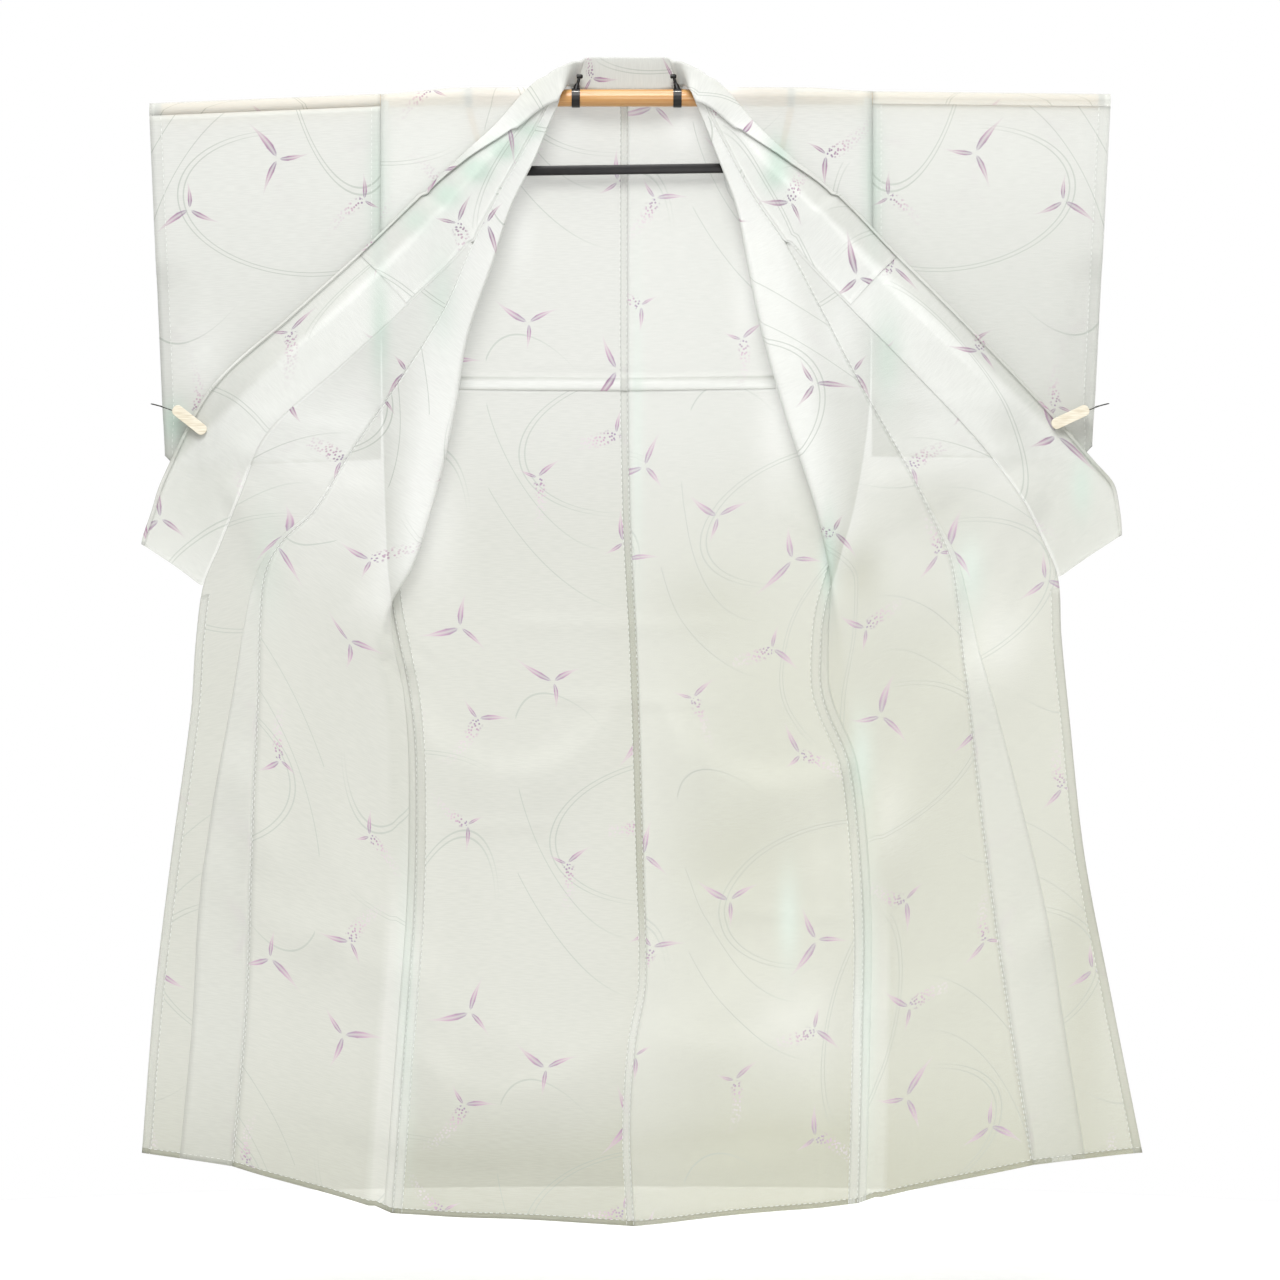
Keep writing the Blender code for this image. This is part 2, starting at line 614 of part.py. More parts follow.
def over_collar():
    """A second strip on the collar's outer face, round its turned edge and over the flap."""
    rows = both_ways()
    moved = moved_out([points for _, points in rows], -OVERLAY_LIFT)
    reach = SHOULDER_ALONG + OVER_COLLAR_END + 0.001
    kept = [line[1:] for (along, _), line in zip(rows, moved, strict=True) if abs(along) <= reach]
    return cloth("over_collar", kept, sheer_cloth(), OVERLAY)


def collar_lining(side, name):
    """The plain inner face, where the collar lies open and shows it."""
    rows = both_ways()
    moved = moved_out([points for _, points in rows], OVERLAY_LIFT)
    start = SHOULDER_ALONG + LINING_START - 0.001
    kept = [line[1:8] for (along, _), line in zip(rows, moved, strict=True) if along * side >= start]
    return cloth(name, kept, lining_cloth(), OVERLAY)


def bar_between(name, start, end, radius, surface, end_radius=None):
    """A round bar or a tapered one between two points."""
    shape = bmesh.new()
    length = (end - start).length
    bmesh.ops.create_cone(
        shape,
        cap_ends=True,
        segments=ROUND_SIDES,
        radius1=radius,
        radius2=end_radius or radius,
        depth=length,
    )
    mesh = bpy.data.meshes.new(name)
    shape.to_mesh(mesh)
    shape.free()
    made = finished(name, mesh, surface)
    made.rotation_mode = "QUATERNION"
    made.rotation_quaternion = (end - start).to_track_quat("Z", "X")
    made.location = (start + end) / 2
    mesh.shade_smooth()
    mesh.set_sharp_from_angle(angle=math.radians(40))
    return made


def arm_point(side, out):
    return Vector((side * out, 0, rod_height(side * out)))


def rod():
    """The middle length of the hanger and its two thinner arms, with bands and end caps."""
    middle_end = ROD_HALF - BAND_WIDTH / 2 - SEAM_GAP
    bar_between(
        "rod_middle", Vector((-middle_end, 0, 0)), Vector((middle_end, 0, 0)), ROD_RADIUS, hanger_wood()
    )
    for side, word in ((LEFT, "left"), (RIGHT, "right")):
        band_start = middle_end + SEAM_GAP
        band_end = band_start + BAND_WIDTH
        axis = Vector((0, 0, rod_height(side * band_end) / 2))
        bar_between(
            f"joint_band_{word}",
            Vector((side * band_start, 0, 0)) + axis,
            Vector((side * band_end, 0, 0)) + axis,
            BAND_RADIUS - abs(axis.z),
            black_plastic(),
        )
        arm_start = band_end + SEAM_GAP * 3
        cap_start = ARM_END - CAP_WIDTH
        bar_between(
            f"rod_arm_{word}",
            arm_point(side, arm_start),
            arm_point(side, cap_start - SEAM_GAP),
            ARM_RADIUS,
            hanger_wood(),
        )
        bar_between(
            f"end_cap_{word}",
            arm_point(side, cap_start),
            arm_point(side, ARM_END),
            CAP_RADIUS,
            black_plastic(),
        )


def joined(target, others):
    """One solid of several overlapping ones, which are hidden helpers afterwards."""
    for other in others:
        union = target.modifiers.new("Union", "BOOLEAN")
        union.operation = "UNION"
        union.object = other
        kimono.objects.unlink(other)
        helpers.objects.link(other)
        other.hide_render = True
        other.display_type = "WIRE"
    return target


def block(name, size, place, surface, bevel=0.001, turn=0.0):
    """A box with rounded edges, turned about Y."""
    shape = bmesh.new()
    bmesh.ops.create_cube(shape, size=1)
    bmesh.ops.scale(shape, vec=size, verts=shape.verts)
    if bevel:
        bmesh.ops.bevel(
            shape,
            geom=shape.edges,
            offset=bevel,
            offset_type="OFFSET",
            segments=1,
            profile=0.5,
            affect="EDGES",
            material=-1,
        )
    mesh = bpy.data.meshes.new(name)
    shape.to_mesh(mesh)
    shape.free()
    made = finished(name, mesh, surface)
    made.location = place
    made.rotation_euler = (0, turn, 0)
    return made


def ring_clamp(side, word):
    """A black ring round the rod with a short post and a knob, which holds up the back of the collar."""
    x = -0.0771 if side == LEFT else 0.0678
    half = Vector((CLAMP_WIDTH / 2, 0, 0))
    ring = bar_between(
        f"ring_clamp_{word}", Vector((x, 0, 0)) - half, Vector((x, 0, 0)) + half, CLAMP_RADIUS, black_plastic()
    )
    foot = Vector((x, -0.001, CLAMP_RADIUS - 0.002))
    head = Vector((x - side * 0.0055, 0.001, 0.0300))
    post = bar_between(f"post_{word}", foot, head, 0.0022, black_plastic())
    knob = bar_between(
        f"knob_{word}",
        head - Vector((0.0032, 0, 0.001)),
        head + Vector((0.0032, 0, 0.001)),
        0.0028,
        black_plastic(),
    )
    joined(ring, [post, knob])
    bore = bar_between(
        f"bore_{word}",
        Vector((x - CLAMP_WIDTH, 0, 0)),
        Vector((x + CLAMP_WIDTH, 0, 0)),
        ROD_RADIUS + SEAM_GAP,
        black_plastic(),
    )
    cut = ring.modifiers.new("Bore", "BOOLEAN")
    cut.operation = "DIFFERENCE"
    cut.object = bore
    kimono.objects.unlink(bore)
    helpers.objects.link(bore)
    bore.hide_render = True
    bore.display_type = "WIRE"


def lower_bar():
    """The flat bar that keeps the back of the garment spread, hung from the joints by two arms."""
    size = (BAR_HALF * 2, BAR_DEPTH, BAR_HEIGHT)
    block("lower_bar", size, (0.003, 0, BAR_Z), black_plastic(), 0.0015, -BAR_TILT)


def hanging_arm(side, word):
    """A thin tapered arm from the joint of the rod down to the lower bar."""
    top = Vector((side * ROD_HALF, 0, -BAND_RADIUS - SEAM_GAP))
    bottom_x = side * (BAR_HALF - 0.006) + 0.003
    bar_top = BAR_Z + BAR_HEIGHT / 2 + (bottom_x + 0.004) * BAR_TILT
    bottom = Vector((bottom_x, 0, bar_top + SEAM_GAP * 2))
    shape = bmesh.new()
    bmesh.ops.create_cube(shape, size=1)
    for corner in shape.verts:
        place, width = (top, 0.0105) if corner.co.z > 0 else (bottom, 0.0075)
        corner.co = place + Vector((corner.co.x * width, corner.co.y * 0.006, 0))
    mesh = bpy.data.meshes.new(f"hanging_arm_{word}")
    shape.to_mesh(mesh)
    shape.free()
    finished(f"hanging_arm_{word}", mesh, hanger_wood())


def peg_leg(name, size, place, turn):
    """One leg of a peg, with round ends."""
    shape = bmesh.new()
    bmesh.ops.create_cube(shape, size=1)
    bmesh.ops.scale(shape, vec=size, verts=shape.verts)
    corners = [edge for edge in shape.edges if abs((edge.verts[0].co - edge.verts[1].co).y) > size[1] / 2]
    bmesh.ops.bevel(
        shape,
        geom=corners,
        offset=size[2] * 0.46,
        offset_type="OFFSET",
        segments=4,
        profile=0.5,
        affect="EDGES",
        material=-1,
    )
    mesh = bpy.data.meshes.new(name)
    shape.to_mesh(mesh)
    shape.free()
    made = finished(name, mesh, peg_wood())
    made.location = place
    made.rotation_euler = (0, turn, 0)
    return made


def peg(side, word):
    """A wooden peg that grips the collar's edge, and the wire hook that ties it to the sleeve's edge."""
    centre = Vector((side * 0.609, 0, -0.4486 if side == LEFT else -0.4445))
    slant = math.radians(38 if side == LEFT else 25) * -side
    front_y, back_y = (-0.0357, -0.0180) if side == LEFT else (-0.0350, -0.0185)
    front = peg_leg(f"peg_{word}", (0.056, 0.0045, 0.0155), centre + Vector((0, front_y, 0)), slant)
    behind = peg_leg(
        f"peg_back_leg_{word}", (0.054, 0.0040, 0.0130), centre + Vector((0, back_y, 0)), slant
    )
    outer = Vector((side * math.cos(slant), 0, -side * math.sin(slant)))
    pin_at = centre + outer * 0.019
    pin = bar_between(
        f"peg_spring_{word}",
        pin_at + Vector((0, front_y, 0)),
        pin_at + Vector((0, back_y, 0)),
        0.0030,
        peg_wood(),
    )
    joined(front, [behind, pin])
    hook = bpy.data.curves.new(f"peg_wire_{word}", "CURVE")
    hook.dimensions = "3D"
    hook.bevel_depth = 0.0007
    hook.bevel_resolution = 1
    hook.use_fill_caps = True
    line = hook.splines.new("POLY")
    edge_x = 0.651
    stops = [
        (abs(pin_at.x) + 0.0041, (front_y + back_y) / 2, 0.000),
        (edge_x, -0.016, 0.008),
        (edge_x + 0.011, -0.010, 0.011),
        (edge_x + 0.014, -0.002, 0.012),
        (edge_x + 0.012, 0.004, 0.012),
        (edge_x + 0.004, 0.0085, 0.010),
        (edge_x - 0.004, 0.0105, 0.008),
    ]
    line.points.add(len(stops) - 1)
    for point, (out, y, up) in zip(line.points, stops, strict=True):
        point.co = (side * out, y, pin_at.z + up, 1)
    made = bpy.data.objects.new(f"peg_wire_{word}", hook)
    made.data.materials.append(dark_wire())
    kimono.objects.link(made)


for old in list(bpy.data.objects):
    bpy.data.objects.remove(old, do_unlink=True)
kimono = bpy.data.collections.new("summer_kimono")
helpers = bpy.data.collections.new("helpers")
bpy.context.scene.collection.children.link(kimono)
bpy.context.scene.collection.children.link(helpers)

rod()
lower_bar()
for which, side_word in ((LEFT, "left"), (RIGHT, "right")):
    ring_clamp(which, side_word)
    hanging_arm(which, side_word)
    body_panel(which, f"body_{side_word}")
    overlap_panel(which, f"okumi_{side_word}")
    sleeve(which, f"sleeve_{side_word}")
    collar_lining(which, f"collar_lining_{side_word}")
    peg(which, side_word)
collar()
over_collar()
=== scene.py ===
"""A sheer summer kimono, hung open on an extending wooden hanger rod, finished for a studio photograph.

The rod comes first, then what is fixed to it, then the cloth in the order in which it is sewn, and
last the pegs, the floor, the light and the camera. Metres, +Z up; the viewer stands on the -Y side.
"""

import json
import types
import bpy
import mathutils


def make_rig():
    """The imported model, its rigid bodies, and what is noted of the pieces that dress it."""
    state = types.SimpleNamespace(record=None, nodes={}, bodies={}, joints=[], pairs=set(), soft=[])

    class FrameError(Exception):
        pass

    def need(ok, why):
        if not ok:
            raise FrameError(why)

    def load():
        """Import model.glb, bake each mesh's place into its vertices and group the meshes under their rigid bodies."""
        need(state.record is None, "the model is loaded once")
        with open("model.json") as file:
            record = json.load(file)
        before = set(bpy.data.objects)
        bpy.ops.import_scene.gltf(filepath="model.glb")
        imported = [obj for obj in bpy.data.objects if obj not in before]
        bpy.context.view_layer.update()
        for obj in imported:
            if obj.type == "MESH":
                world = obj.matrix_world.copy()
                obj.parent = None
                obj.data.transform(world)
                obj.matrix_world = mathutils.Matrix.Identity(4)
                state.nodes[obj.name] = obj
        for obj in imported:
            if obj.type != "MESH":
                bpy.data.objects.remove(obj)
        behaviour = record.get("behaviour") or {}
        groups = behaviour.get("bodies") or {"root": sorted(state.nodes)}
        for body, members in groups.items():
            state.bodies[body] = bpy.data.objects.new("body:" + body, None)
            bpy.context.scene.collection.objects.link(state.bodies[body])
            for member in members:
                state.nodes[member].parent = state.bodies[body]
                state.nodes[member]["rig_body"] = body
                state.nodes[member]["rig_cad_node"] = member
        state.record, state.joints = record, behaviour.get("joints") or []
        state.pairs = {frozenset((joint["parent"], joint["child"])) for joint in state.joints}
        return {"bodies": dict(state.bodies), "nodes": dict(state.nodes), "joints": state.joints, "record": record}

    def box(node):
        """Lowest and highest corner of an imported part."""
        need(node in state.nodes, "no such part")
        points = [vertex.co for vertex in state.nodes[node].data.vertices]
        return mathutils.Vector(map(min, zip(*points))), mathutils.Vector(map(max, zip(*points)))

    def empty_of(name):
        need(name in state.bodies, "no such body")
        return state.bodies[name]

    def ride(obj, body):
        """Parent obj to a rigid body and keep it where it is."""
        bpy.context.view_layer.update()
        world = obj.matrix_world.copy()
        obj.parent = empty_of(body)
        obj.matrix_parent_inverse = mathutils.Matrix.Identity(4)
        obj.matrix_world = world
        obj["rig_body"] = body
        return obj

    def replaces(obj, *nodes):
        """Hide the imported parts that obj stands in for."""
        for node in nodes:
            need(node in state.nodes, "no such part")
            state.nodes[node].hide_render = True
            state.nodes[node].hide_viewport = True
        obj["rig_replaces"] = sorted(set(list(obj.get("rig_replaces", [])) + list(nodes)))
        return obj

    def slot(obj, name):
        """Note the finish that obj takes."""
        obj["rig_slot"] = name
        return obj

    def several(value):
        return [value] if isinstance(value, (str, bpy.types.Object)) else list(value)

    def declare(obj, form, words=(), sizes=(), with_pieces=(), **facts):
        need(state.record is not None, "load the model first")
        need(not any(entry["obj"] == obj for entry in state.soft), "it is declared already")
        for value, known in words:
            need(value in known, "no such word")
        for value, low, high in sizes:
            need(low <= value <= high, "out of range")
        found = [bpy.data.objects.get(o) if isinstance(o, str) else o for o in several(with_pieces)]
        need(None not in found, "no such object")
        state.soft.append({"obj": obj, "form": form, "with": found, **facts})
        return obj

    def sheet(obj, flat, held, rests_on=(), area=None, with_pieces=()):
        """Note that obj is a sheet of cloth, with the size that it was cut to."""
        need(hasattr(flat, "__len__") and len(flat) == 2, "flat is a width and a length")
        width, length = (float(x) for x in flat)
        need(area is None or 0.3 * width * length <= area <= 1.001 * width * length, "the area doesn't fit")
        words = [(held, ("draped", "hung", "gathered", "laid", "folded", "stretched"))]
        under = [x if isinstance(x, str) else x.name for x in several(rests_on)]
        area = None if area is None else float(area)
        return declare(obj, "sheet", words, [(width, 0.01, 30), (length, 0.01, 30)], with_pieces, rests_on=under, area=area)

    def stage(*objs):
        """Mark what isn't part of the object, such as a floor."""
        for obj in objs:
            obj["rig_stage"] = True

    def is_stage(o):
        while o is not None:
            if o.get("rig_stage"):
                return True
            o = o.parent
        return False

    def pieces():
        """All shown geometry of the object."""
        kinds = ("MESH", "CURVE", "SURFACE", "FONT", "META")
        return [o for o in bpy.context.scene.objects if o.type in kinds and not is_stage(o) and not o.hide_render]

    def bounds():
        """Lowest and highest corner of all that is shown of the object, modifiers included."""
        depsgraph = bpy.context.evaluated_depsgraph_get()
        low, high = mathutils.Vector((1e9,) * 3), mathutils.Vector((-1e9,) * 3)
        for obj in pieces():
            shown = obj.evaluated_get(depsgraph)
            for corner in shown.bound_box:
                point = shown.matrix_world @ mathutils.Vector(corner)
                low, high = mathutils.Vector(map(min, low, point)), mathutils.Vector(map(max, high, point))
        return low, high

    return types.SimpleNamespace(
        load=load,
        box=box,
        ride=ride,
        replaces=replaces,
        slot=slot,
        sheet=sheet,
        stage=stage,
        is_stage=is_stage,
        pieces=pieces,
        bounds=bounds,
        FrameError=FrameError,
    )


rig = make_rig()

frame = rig.load()

import json
import math
from collections import namedtuple

import bmesh
import bpy
from mathutils import Matrix, Vector

cad_box = [list(corner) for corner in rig.bounds()]

# The rod. Three lengths of turned beech, a thick one in the middle and a paler, thinner one that draws
# out of each end of it; that paleness is partly painted light, softening the shade under the arms that
# shows through the gauze. Clear lacquer lies over the wood, so that it shines along its upper side.
LEFT, RIGHT = -1, 1
SIDES = ((LEFT, "left"), (RIGHT, "right"))
ROD_ROUNDING = 0.0012
ARM_START, ARM_END = 0.224, 0.660
ARM_DROOP = {LEFT: 0.0180, RIGHT: 0.0050}
slots = {}


def linear(colour):
    """An sRGB hex colour as linear red, green, blue and a full alpha. Any other value stays as it is."""
    if not isinstance(colour, str):
        return colour
    parts = [int(colour[k : k + 2], 16) / 255 for k in (1, 3, 5)]
    return [p / 12.92 if p <= 0.04045 else ((p + 0.055) / 1.055) ** 2.4 for p in parts] + [1.0]


def wire(tree, kind, inputs=(), output=0, to=None, stops=(), **settings):
    """Adds a shader node with its settings, links and colour stops, and gives one of its outputs, which
    may also be linked to a socket of the material's Principled shader. What a maths node works out
    follows its kind."""
    kind, _, operation = kind.partition(" ")
    made = tree.nodes.new("ShaderNode" + kind)
    if operation:
        made.operation = operation
    for name, value in settings.items():
        setattr(made, name, value)
    for name, value in inputs.items() if isinstance(inputs, dict) else enumerate(inputs):
        if isinstance(value, bpy.types.NodeSocket):
            tree.links.new(value, made.inputs[name])
        else:
            made.inputs[name].default_value = linear(value)
    for k, (place, colour) in enumerate(stops):
        stop = made.color_ramp.elements[k] if k < 2 else made.color_ramp.elements.new(place)
        stop.position, stop.color = place, linear(colour)
    if to:
        tree.links.new(made.outputs[output], tree.nodes["Principled BSDF"].inputs[to])
    return made.outputs[output]


def begun(name, slot, **values):
    """A material that stands for a slot of the record, with one Principled shader and the values that
    are the same all over it."""
    made = bpy.data.materials.new(name)
    made.use_nodes = True
    slots[name] = slot
    for socket, value in values.items():
        shader = made.node_tree.nodes["Principled BSDF"]
        shader.inputs[socket.replace("_", " ")].default_value = linear(value)
    return made, made.node_tree


def lacquered_beech(name, late, early):
    """Beech, turned and lacquered: grain 1 to 3 mm wide runs along the rod under a smooth clear coat."""
    made, tree = begun(name, "hanger_wood", Roughness=0.42, Coat_Weight=0.55, Coat_Roughness=0.16)
    place = wire(tree, "TexCoord", output="Object")
    along = wire(tree, "Mapping", {"Vector": place, "Scale": (9, 420, 420)})
    grain = wire(tree, "TexNoise", {"Vector": along, "Scale": 1.0, "Detail": 4.0, "Roughness": 0.6})
    wire(tree, "ValToRGB", {"Fac": grain}, to="Base Color", stops=[(0.30, late), (0.68, early)])
    pores = wire(tree, "TexNoise", {"Vector": along, "Scale": 3.0, "Detail": 2.0})
    wire(tree, "Bump", {"Height": pores, "Strength": 0.25, "Distance": 0.0002}, to="Normal")
    return made


def finished(name, shape, material, *nodes, sharp=35):
    """A piece of this mesh at the origin, on the part's one body, in place of the nodes it stands for."""
    mesh = bpy.data.meshes.new(name)
    shape.to_mesh(mesh)
    shape.free()
    mesh.materials.append(material)
    mesh.shade_smooth()
    mesh.set_sharp_from_angle(angle=math.radians(sharp))
    piece = bpy.data.objects.new(name, mesh)
    bpy.context.scene.collection.objects.link(piece)
    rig.ride(piece, "root")
    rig.slot(piece, slots[material.name])
    if nodes:
        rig.replaces(piece, *nodes)
    return piece


def turned(shape, profile, start, end, steps=48, ring=False):
    """Adds a piece turned round the line from start to end: places along it and radii, spun round."""
    spun = bmesh.new()
    chain = [spun.verts.new((radius, 0, along)) for along, radius in profile]
    for pair in zip(chain, chain[1:] + chain[:1] if ring else chain[1:]):
        spun.edges.new(pair)
    spin = {"cent": (0, 0, 0), "axis": (0, 0, 1), "dvec": (0, 0, 0), "angle": math.tau, "steps": steps}
    chain = spun.verts[:] + spun.edges[:]
    bmesh.ops.spin(spun, geom=chain, use_merge=True, use_duplicate=False, **spin)
    bmesh.ops.remove_doubles(spun, verts=spun.verts, dist=0.00002)
    bmesh.ops.recalc_face_normals(spun, faces=spun.faces)
    turn = (end - start).to_track_quat("Z", "X").to_matrix().to_4x4()
    bmesh.ops.transform(spun, matrix=Matrix.Translation(start) @ turn, verts=spun.verts)
    part = bpy.data.meshes.new("turned")
    spun.to_mesh(part)
    spun.free()
    shape.from_mesh(part)
    bpy.data.meshes.remove(part)
    return shape


def rounded(length, radius, rounding):
    """The profile of a plain round bar whose two ends are rounded."""
    near = [(0, 0), (0, radius - rounding), (rounding * 0.3, radius - rounding * 0.3), (rounding, radius)]
    return near + [(length - along, wide) for along, wide in reversed(near)]


def rod_height(x):
    """The height of the hanger's axis: level in its middle length, and drooping along both arms."""
    return -ARM_DROOP[LEFT if x < 0 else RIGHT] * max((abs(x) - ARM_START) / (ARM_END - ARM_START), 0)


def on_axis(*places):
    """Points on the hanger's axis, at these places across it."""
    return [Vector((x, 0, rod_height(x))) for x in places]


middle_beech = lacquered_beech("lacquered_beech", "#AF7538", "#C6995A")
# The arms' paler wood is partly painted light, softening the shade under them seen through the gauze
pale_beech = lacquered_beech("pale_lacquered_beech", "#C1975C", "#D8B784")
for node in ("rod_middle", "rod_arm_left", "rod_arm_right"):
    low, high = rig.box(node)
    start, end = on_axis(low.x, high.x)
    profile = rounded((end - start).length, (high.y - low.y) / 2, ROD_ROUNDING)
    bar = turned(bmesh.new(), profile, start, end)
    finished(node + "_wood", bar, middle_beech if node == "rod_middle" else pale_beech, node)

# The fittings of the rod. Moulded black plastic: a ribbed band where each arm draws out, a domed cap on
# each end, and two spring rings whose short posts and knobs hold up the back of the collar.
BAND_RIBS = 3
BAND_BORE = 0.0095
RIB_DEPTH, RIB_HALF = 0.0005, 0.0006
DOME = ((0.55, 1), (0.82, 0.88), (0.95, 0.62), (1, 0.25), (1, 0))
CLAMP_WIDTH = 0.0115
POST_TOP = 0.0300
POST_LEAN = 0.0055
POST_RADIUS = 0.0022
KNOB = [(0, 0), (0, 0.0022), (0.0008, 0.0030), (0.0062, 0.0033), (0.0082, 0.0024), (0.0086, 0)]
PIN_RADIUS = 0.0006
PIN_TURN = 0.62


def moulded_black_plastic():
    """Black ABS out of a satin mould: nearly black, with a fine even grain that softens its shine."""
    made, tree = begun("moulded_black_plastic", "black_plastic", Roughness=0.38, Specular_IOR_Level=0.32)
    place = wire(tree, "TexCoord", output="Object")
    tone = wire(tree, "TexNoise", {"Vector": place, "Scale": 60.0, "Detail": 2.0})
    wire(tree, "ValToRGB", {"Fac": tone}, to="Base Color", stops=[(0.35, "#0F0D0E"), (0.70, "#1A1816")])
    grit = wire(tree, "TexNoise", {"Vector": place, "Scale": 2200.0, "Detail": 1.0})
    wire(tree, "Bump", {"Height": grit, "Strength": 0.2, "Distance": 0.0001}, to="Normal")
    return made


def bright_steel():
    """Drawn steel wire, plain and bright, a little dulled by handling."""
    made, tree = begun("bright_steel", "black_plastic", Metallic=1.0, Base_Color="#B9B7B2")
    place = wire(tree, "TexCoord", output="Object")
    dull = wire(tree, "TexNoise", {"Vector": place, "Scale": 300.0, "Detail": 2.0})
    wire(tree, "MapRange", {"Value": dull, "To Min": 0.25, "To Max": 0.45}, to="Roughness")
    return made


black_plastic = moulded_black_plastic()
steel = bright_steel()
for side, word in SIDES:
    low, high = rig.box(f"joint_band_{word}")
    width, radius = high.x - low.x, (high.y - low.y) / 2
    axis_z = (low.z + high.z) / 2
    profile = [(0, BAND_BORE), (0, radius - 0.0006), (0.0005, radius)]
    for k in range(BAND_RIBS):
        groove = width * (k + 1) / (BAND_RIBS + 1)
        profile += [(groove - RIB_HALF, radius), (groove, radius - RIB_DEPTH), (groove + RIB_HALF, radius)]
    profile += [(width - 0.0005, radius), (width, radius - 0.0006), (width, BAND_BORE)]
    start, end = Vector((low.x, 0, axis_z)), Vector((high.x, 0, axis_z))
    band = turned(bmesh.new(), profile, start, end, ring=True)
    finished(f"joint_band_{word}_ribbed", band, black_plastic, f"joint_band_{word}")

    low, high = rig.box(f"end_cap_{word}")
    inner, outer = (high.x, low.x) if side == LEFT else (low.x, high.x)
    width, radius = high.x - low.x, (high.y - low.y) / 2
    dome = [(0, 0), (0, radius - 0.0004), (0.0004, radius)]
    dome += [(width * along, radius * share) for along, share in DOME]
    cap = turned(bmesh.new(), dome, *on_axis(inner, outer))
    finished(f"end_cap_{word}_domed", cap, black_plastic, f"end_cap_{word}")

    low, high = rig.box(f"ring_clamp_{word}")
    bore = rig.box("rod_middle")[1].z + 0.0003
    outer = -low.z
    x = (low.x + high.x) / 2
    width = min(high.x - low.x, CLAMP_WIDTH)
    ring = [(0, bore), (0, outer - 0.0004), (0.0004, outer), (width - 0.0004, outer)]
    ring += [(width, outer - 0.0004), (width, bore)]
    clamp = turned(bmesh.new(), ring, *on_axis(x - width / 2, x + width / 2), ring=True)
    foot, head = Vector((x, -0.001, outer - 0.002)), Vector((x - side * POST_LEAN, 0.001, POST_TOP))
    length = (head - foot).length
    post = [(0, 0), (0, POST_RADIUS * 1.9), (0.007, POST_RADIUS * 1.7), (0.009, POST_RADIUS)]
    post += [(length, POST_RADIUS * 0.9), (length, 0)]
    turned(clamp, post, foot, head, steps=20)
    half = Vector((KNOB[-1][0] / 2, 0, 0))
    turned(clamp, KNOB, head - half, head + half, steps=20)
    finished(f"ring_clamp_{word}_post", clamp, black_plastic, f"ring_clamp_{word}")
    pin_at = Vector((x, -(outer + 0.0001) * math.cos(PIN_TURN), (outer + 0.0001) * math.sin(PIN_TURN)))
    half = Vector((width / 2 + 0.0002, 0, 0))
    pin = rounded(width + 0.0004, PIN_RADIUS, 0.0002)
    pin = turned(bmesh.new(), pin, pin_at - half, pin_at + half, steps=12)
    finished(f"ring_clamp_{word}_pin", pin, steel)

# The lower bar and its two arms. A flat bar of the same black plastic with bevelled edges keeps the
# back of the garment spread; thin tapered strips of beech hang it from the rod's joints.
BAR_SIZE = (0.420, 0.0080, 0.0135)
BAR_CENTRE = Vector((0.003, 0, -0.0993))
BAR_TILT = 0.014
BAR_FACET = 0.0026
STRIP_TOP, STRIP_BOTTOM, STRIP_DEPTH = 0.0105, 0.0075, 0.006
STRIP_EDGE = 0.0012
STRIP_FOOT = 0.204


def bevelled(shape, edges, offset, segments):
    """Takes off these edges of a shape with a bevel, flat in one step or rounder in more."""
    plain = {"offset_type": "OFFSET", "profile": 0.5, "affect": "EDGES", "material": -1}
    return bmesh.ops.bevel(shape, geom=edges, offset=offset, segments=segments, **plain)


bar = bmesh.new()
bmesh.ops.create_cube(bar, size=1)
bmesh.ops.scale(bar, vec=BAR_SIZE, verts=bar.verts)
bevelled(bar, bar.edges[:], BAR_FACET, 2)
bmesh.ops.rotate(bar, cent=(0, 0, 0), matrix=Matrix.Rotation(-BAR_TILT, 3, "Y"), verts=bar.verts)
bmesh.ops.translate(bar, vec=BAR_CENTRE, verts=bar.verts)
finished("lower_bar_bevelled", bar, black_plastic, "lower_bar")
for side, word in SIDES:
    low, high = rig.box(f"hanging_arm_{word}")
    top = Vector((side * ARM_START, 0, high.z))
    bottom = Vector((side * STRIP_FOOT + BAR_CENTRE.x, 0, low.z))
    strip = bmesh.new()
    bmesh.ops.create_cube(strip, size=1)
    for corner in strip.verts:
        place, width = (top, STRIP_TOP) if corner.co.z > 0 else (bottom, STRIP_BOTTOM)
        corner.co = place + Vector((corner.co.x * width, corner.co.y * STRIP_DEPTH, 0))
    bevelled(strip, strip.edges[:], STRIP_EDGE, 3)
    finished(f"hanging_arm_{word}_wood", strip, pale_beech, f"hanging_arm_{word}")

# The two body panels. Each is one length of sheer gauze, 37.5 cm wide, that runs from the back hem over
# the rod and down to the front hem; below the shoulder the front is folded back outward, inside out.
# Both are sewn to each other down the centre back and taken in there by a level tuck.
LENGTH = 1.567
ARMHOLE = 0.23
SIDE_SEAM_START = 0.36
OVERLAP_START = 0.23
CENTRE_X = -0.003
NECK_BACK_Y = 0.0235
SEAM_GAP = 0.0003
CAD_WALL = 0.0012
GAUZE = 0.0003
MIDDLE_WRAP, ARM_WRAP, ARMHOLE_WRAP = 0.0148, 0.0108, 0.0093
HEM_LIFT = {LEFT: 0.018, RIGHT: 0.032}
NECK_ALONG, SHOULDER_ALONG = 0.094, 0.137
SHOULDER_CLOTH = 0.036
TUCK_FROM, TUCK_TO = 0.3785, 0.4115
ROW_STEP = 0.0075
FIRST_LAYER_STEPS, ROLL_STEPS, SECOND_LAYER_STEPS, NECK_STEPS, WRAP_STEPS = 20, 6, 22, 16, 14
FRONT_STEPS = FIRST_LAYER_STEPS + ROLL_STEPS + SECOND_LAYER_STEPS


def table(columns, *rows):
    """Rows of measures whose columns have names."""
    row = namedtuple("Row", columns)
    return [row(*measures) for measures in rows]


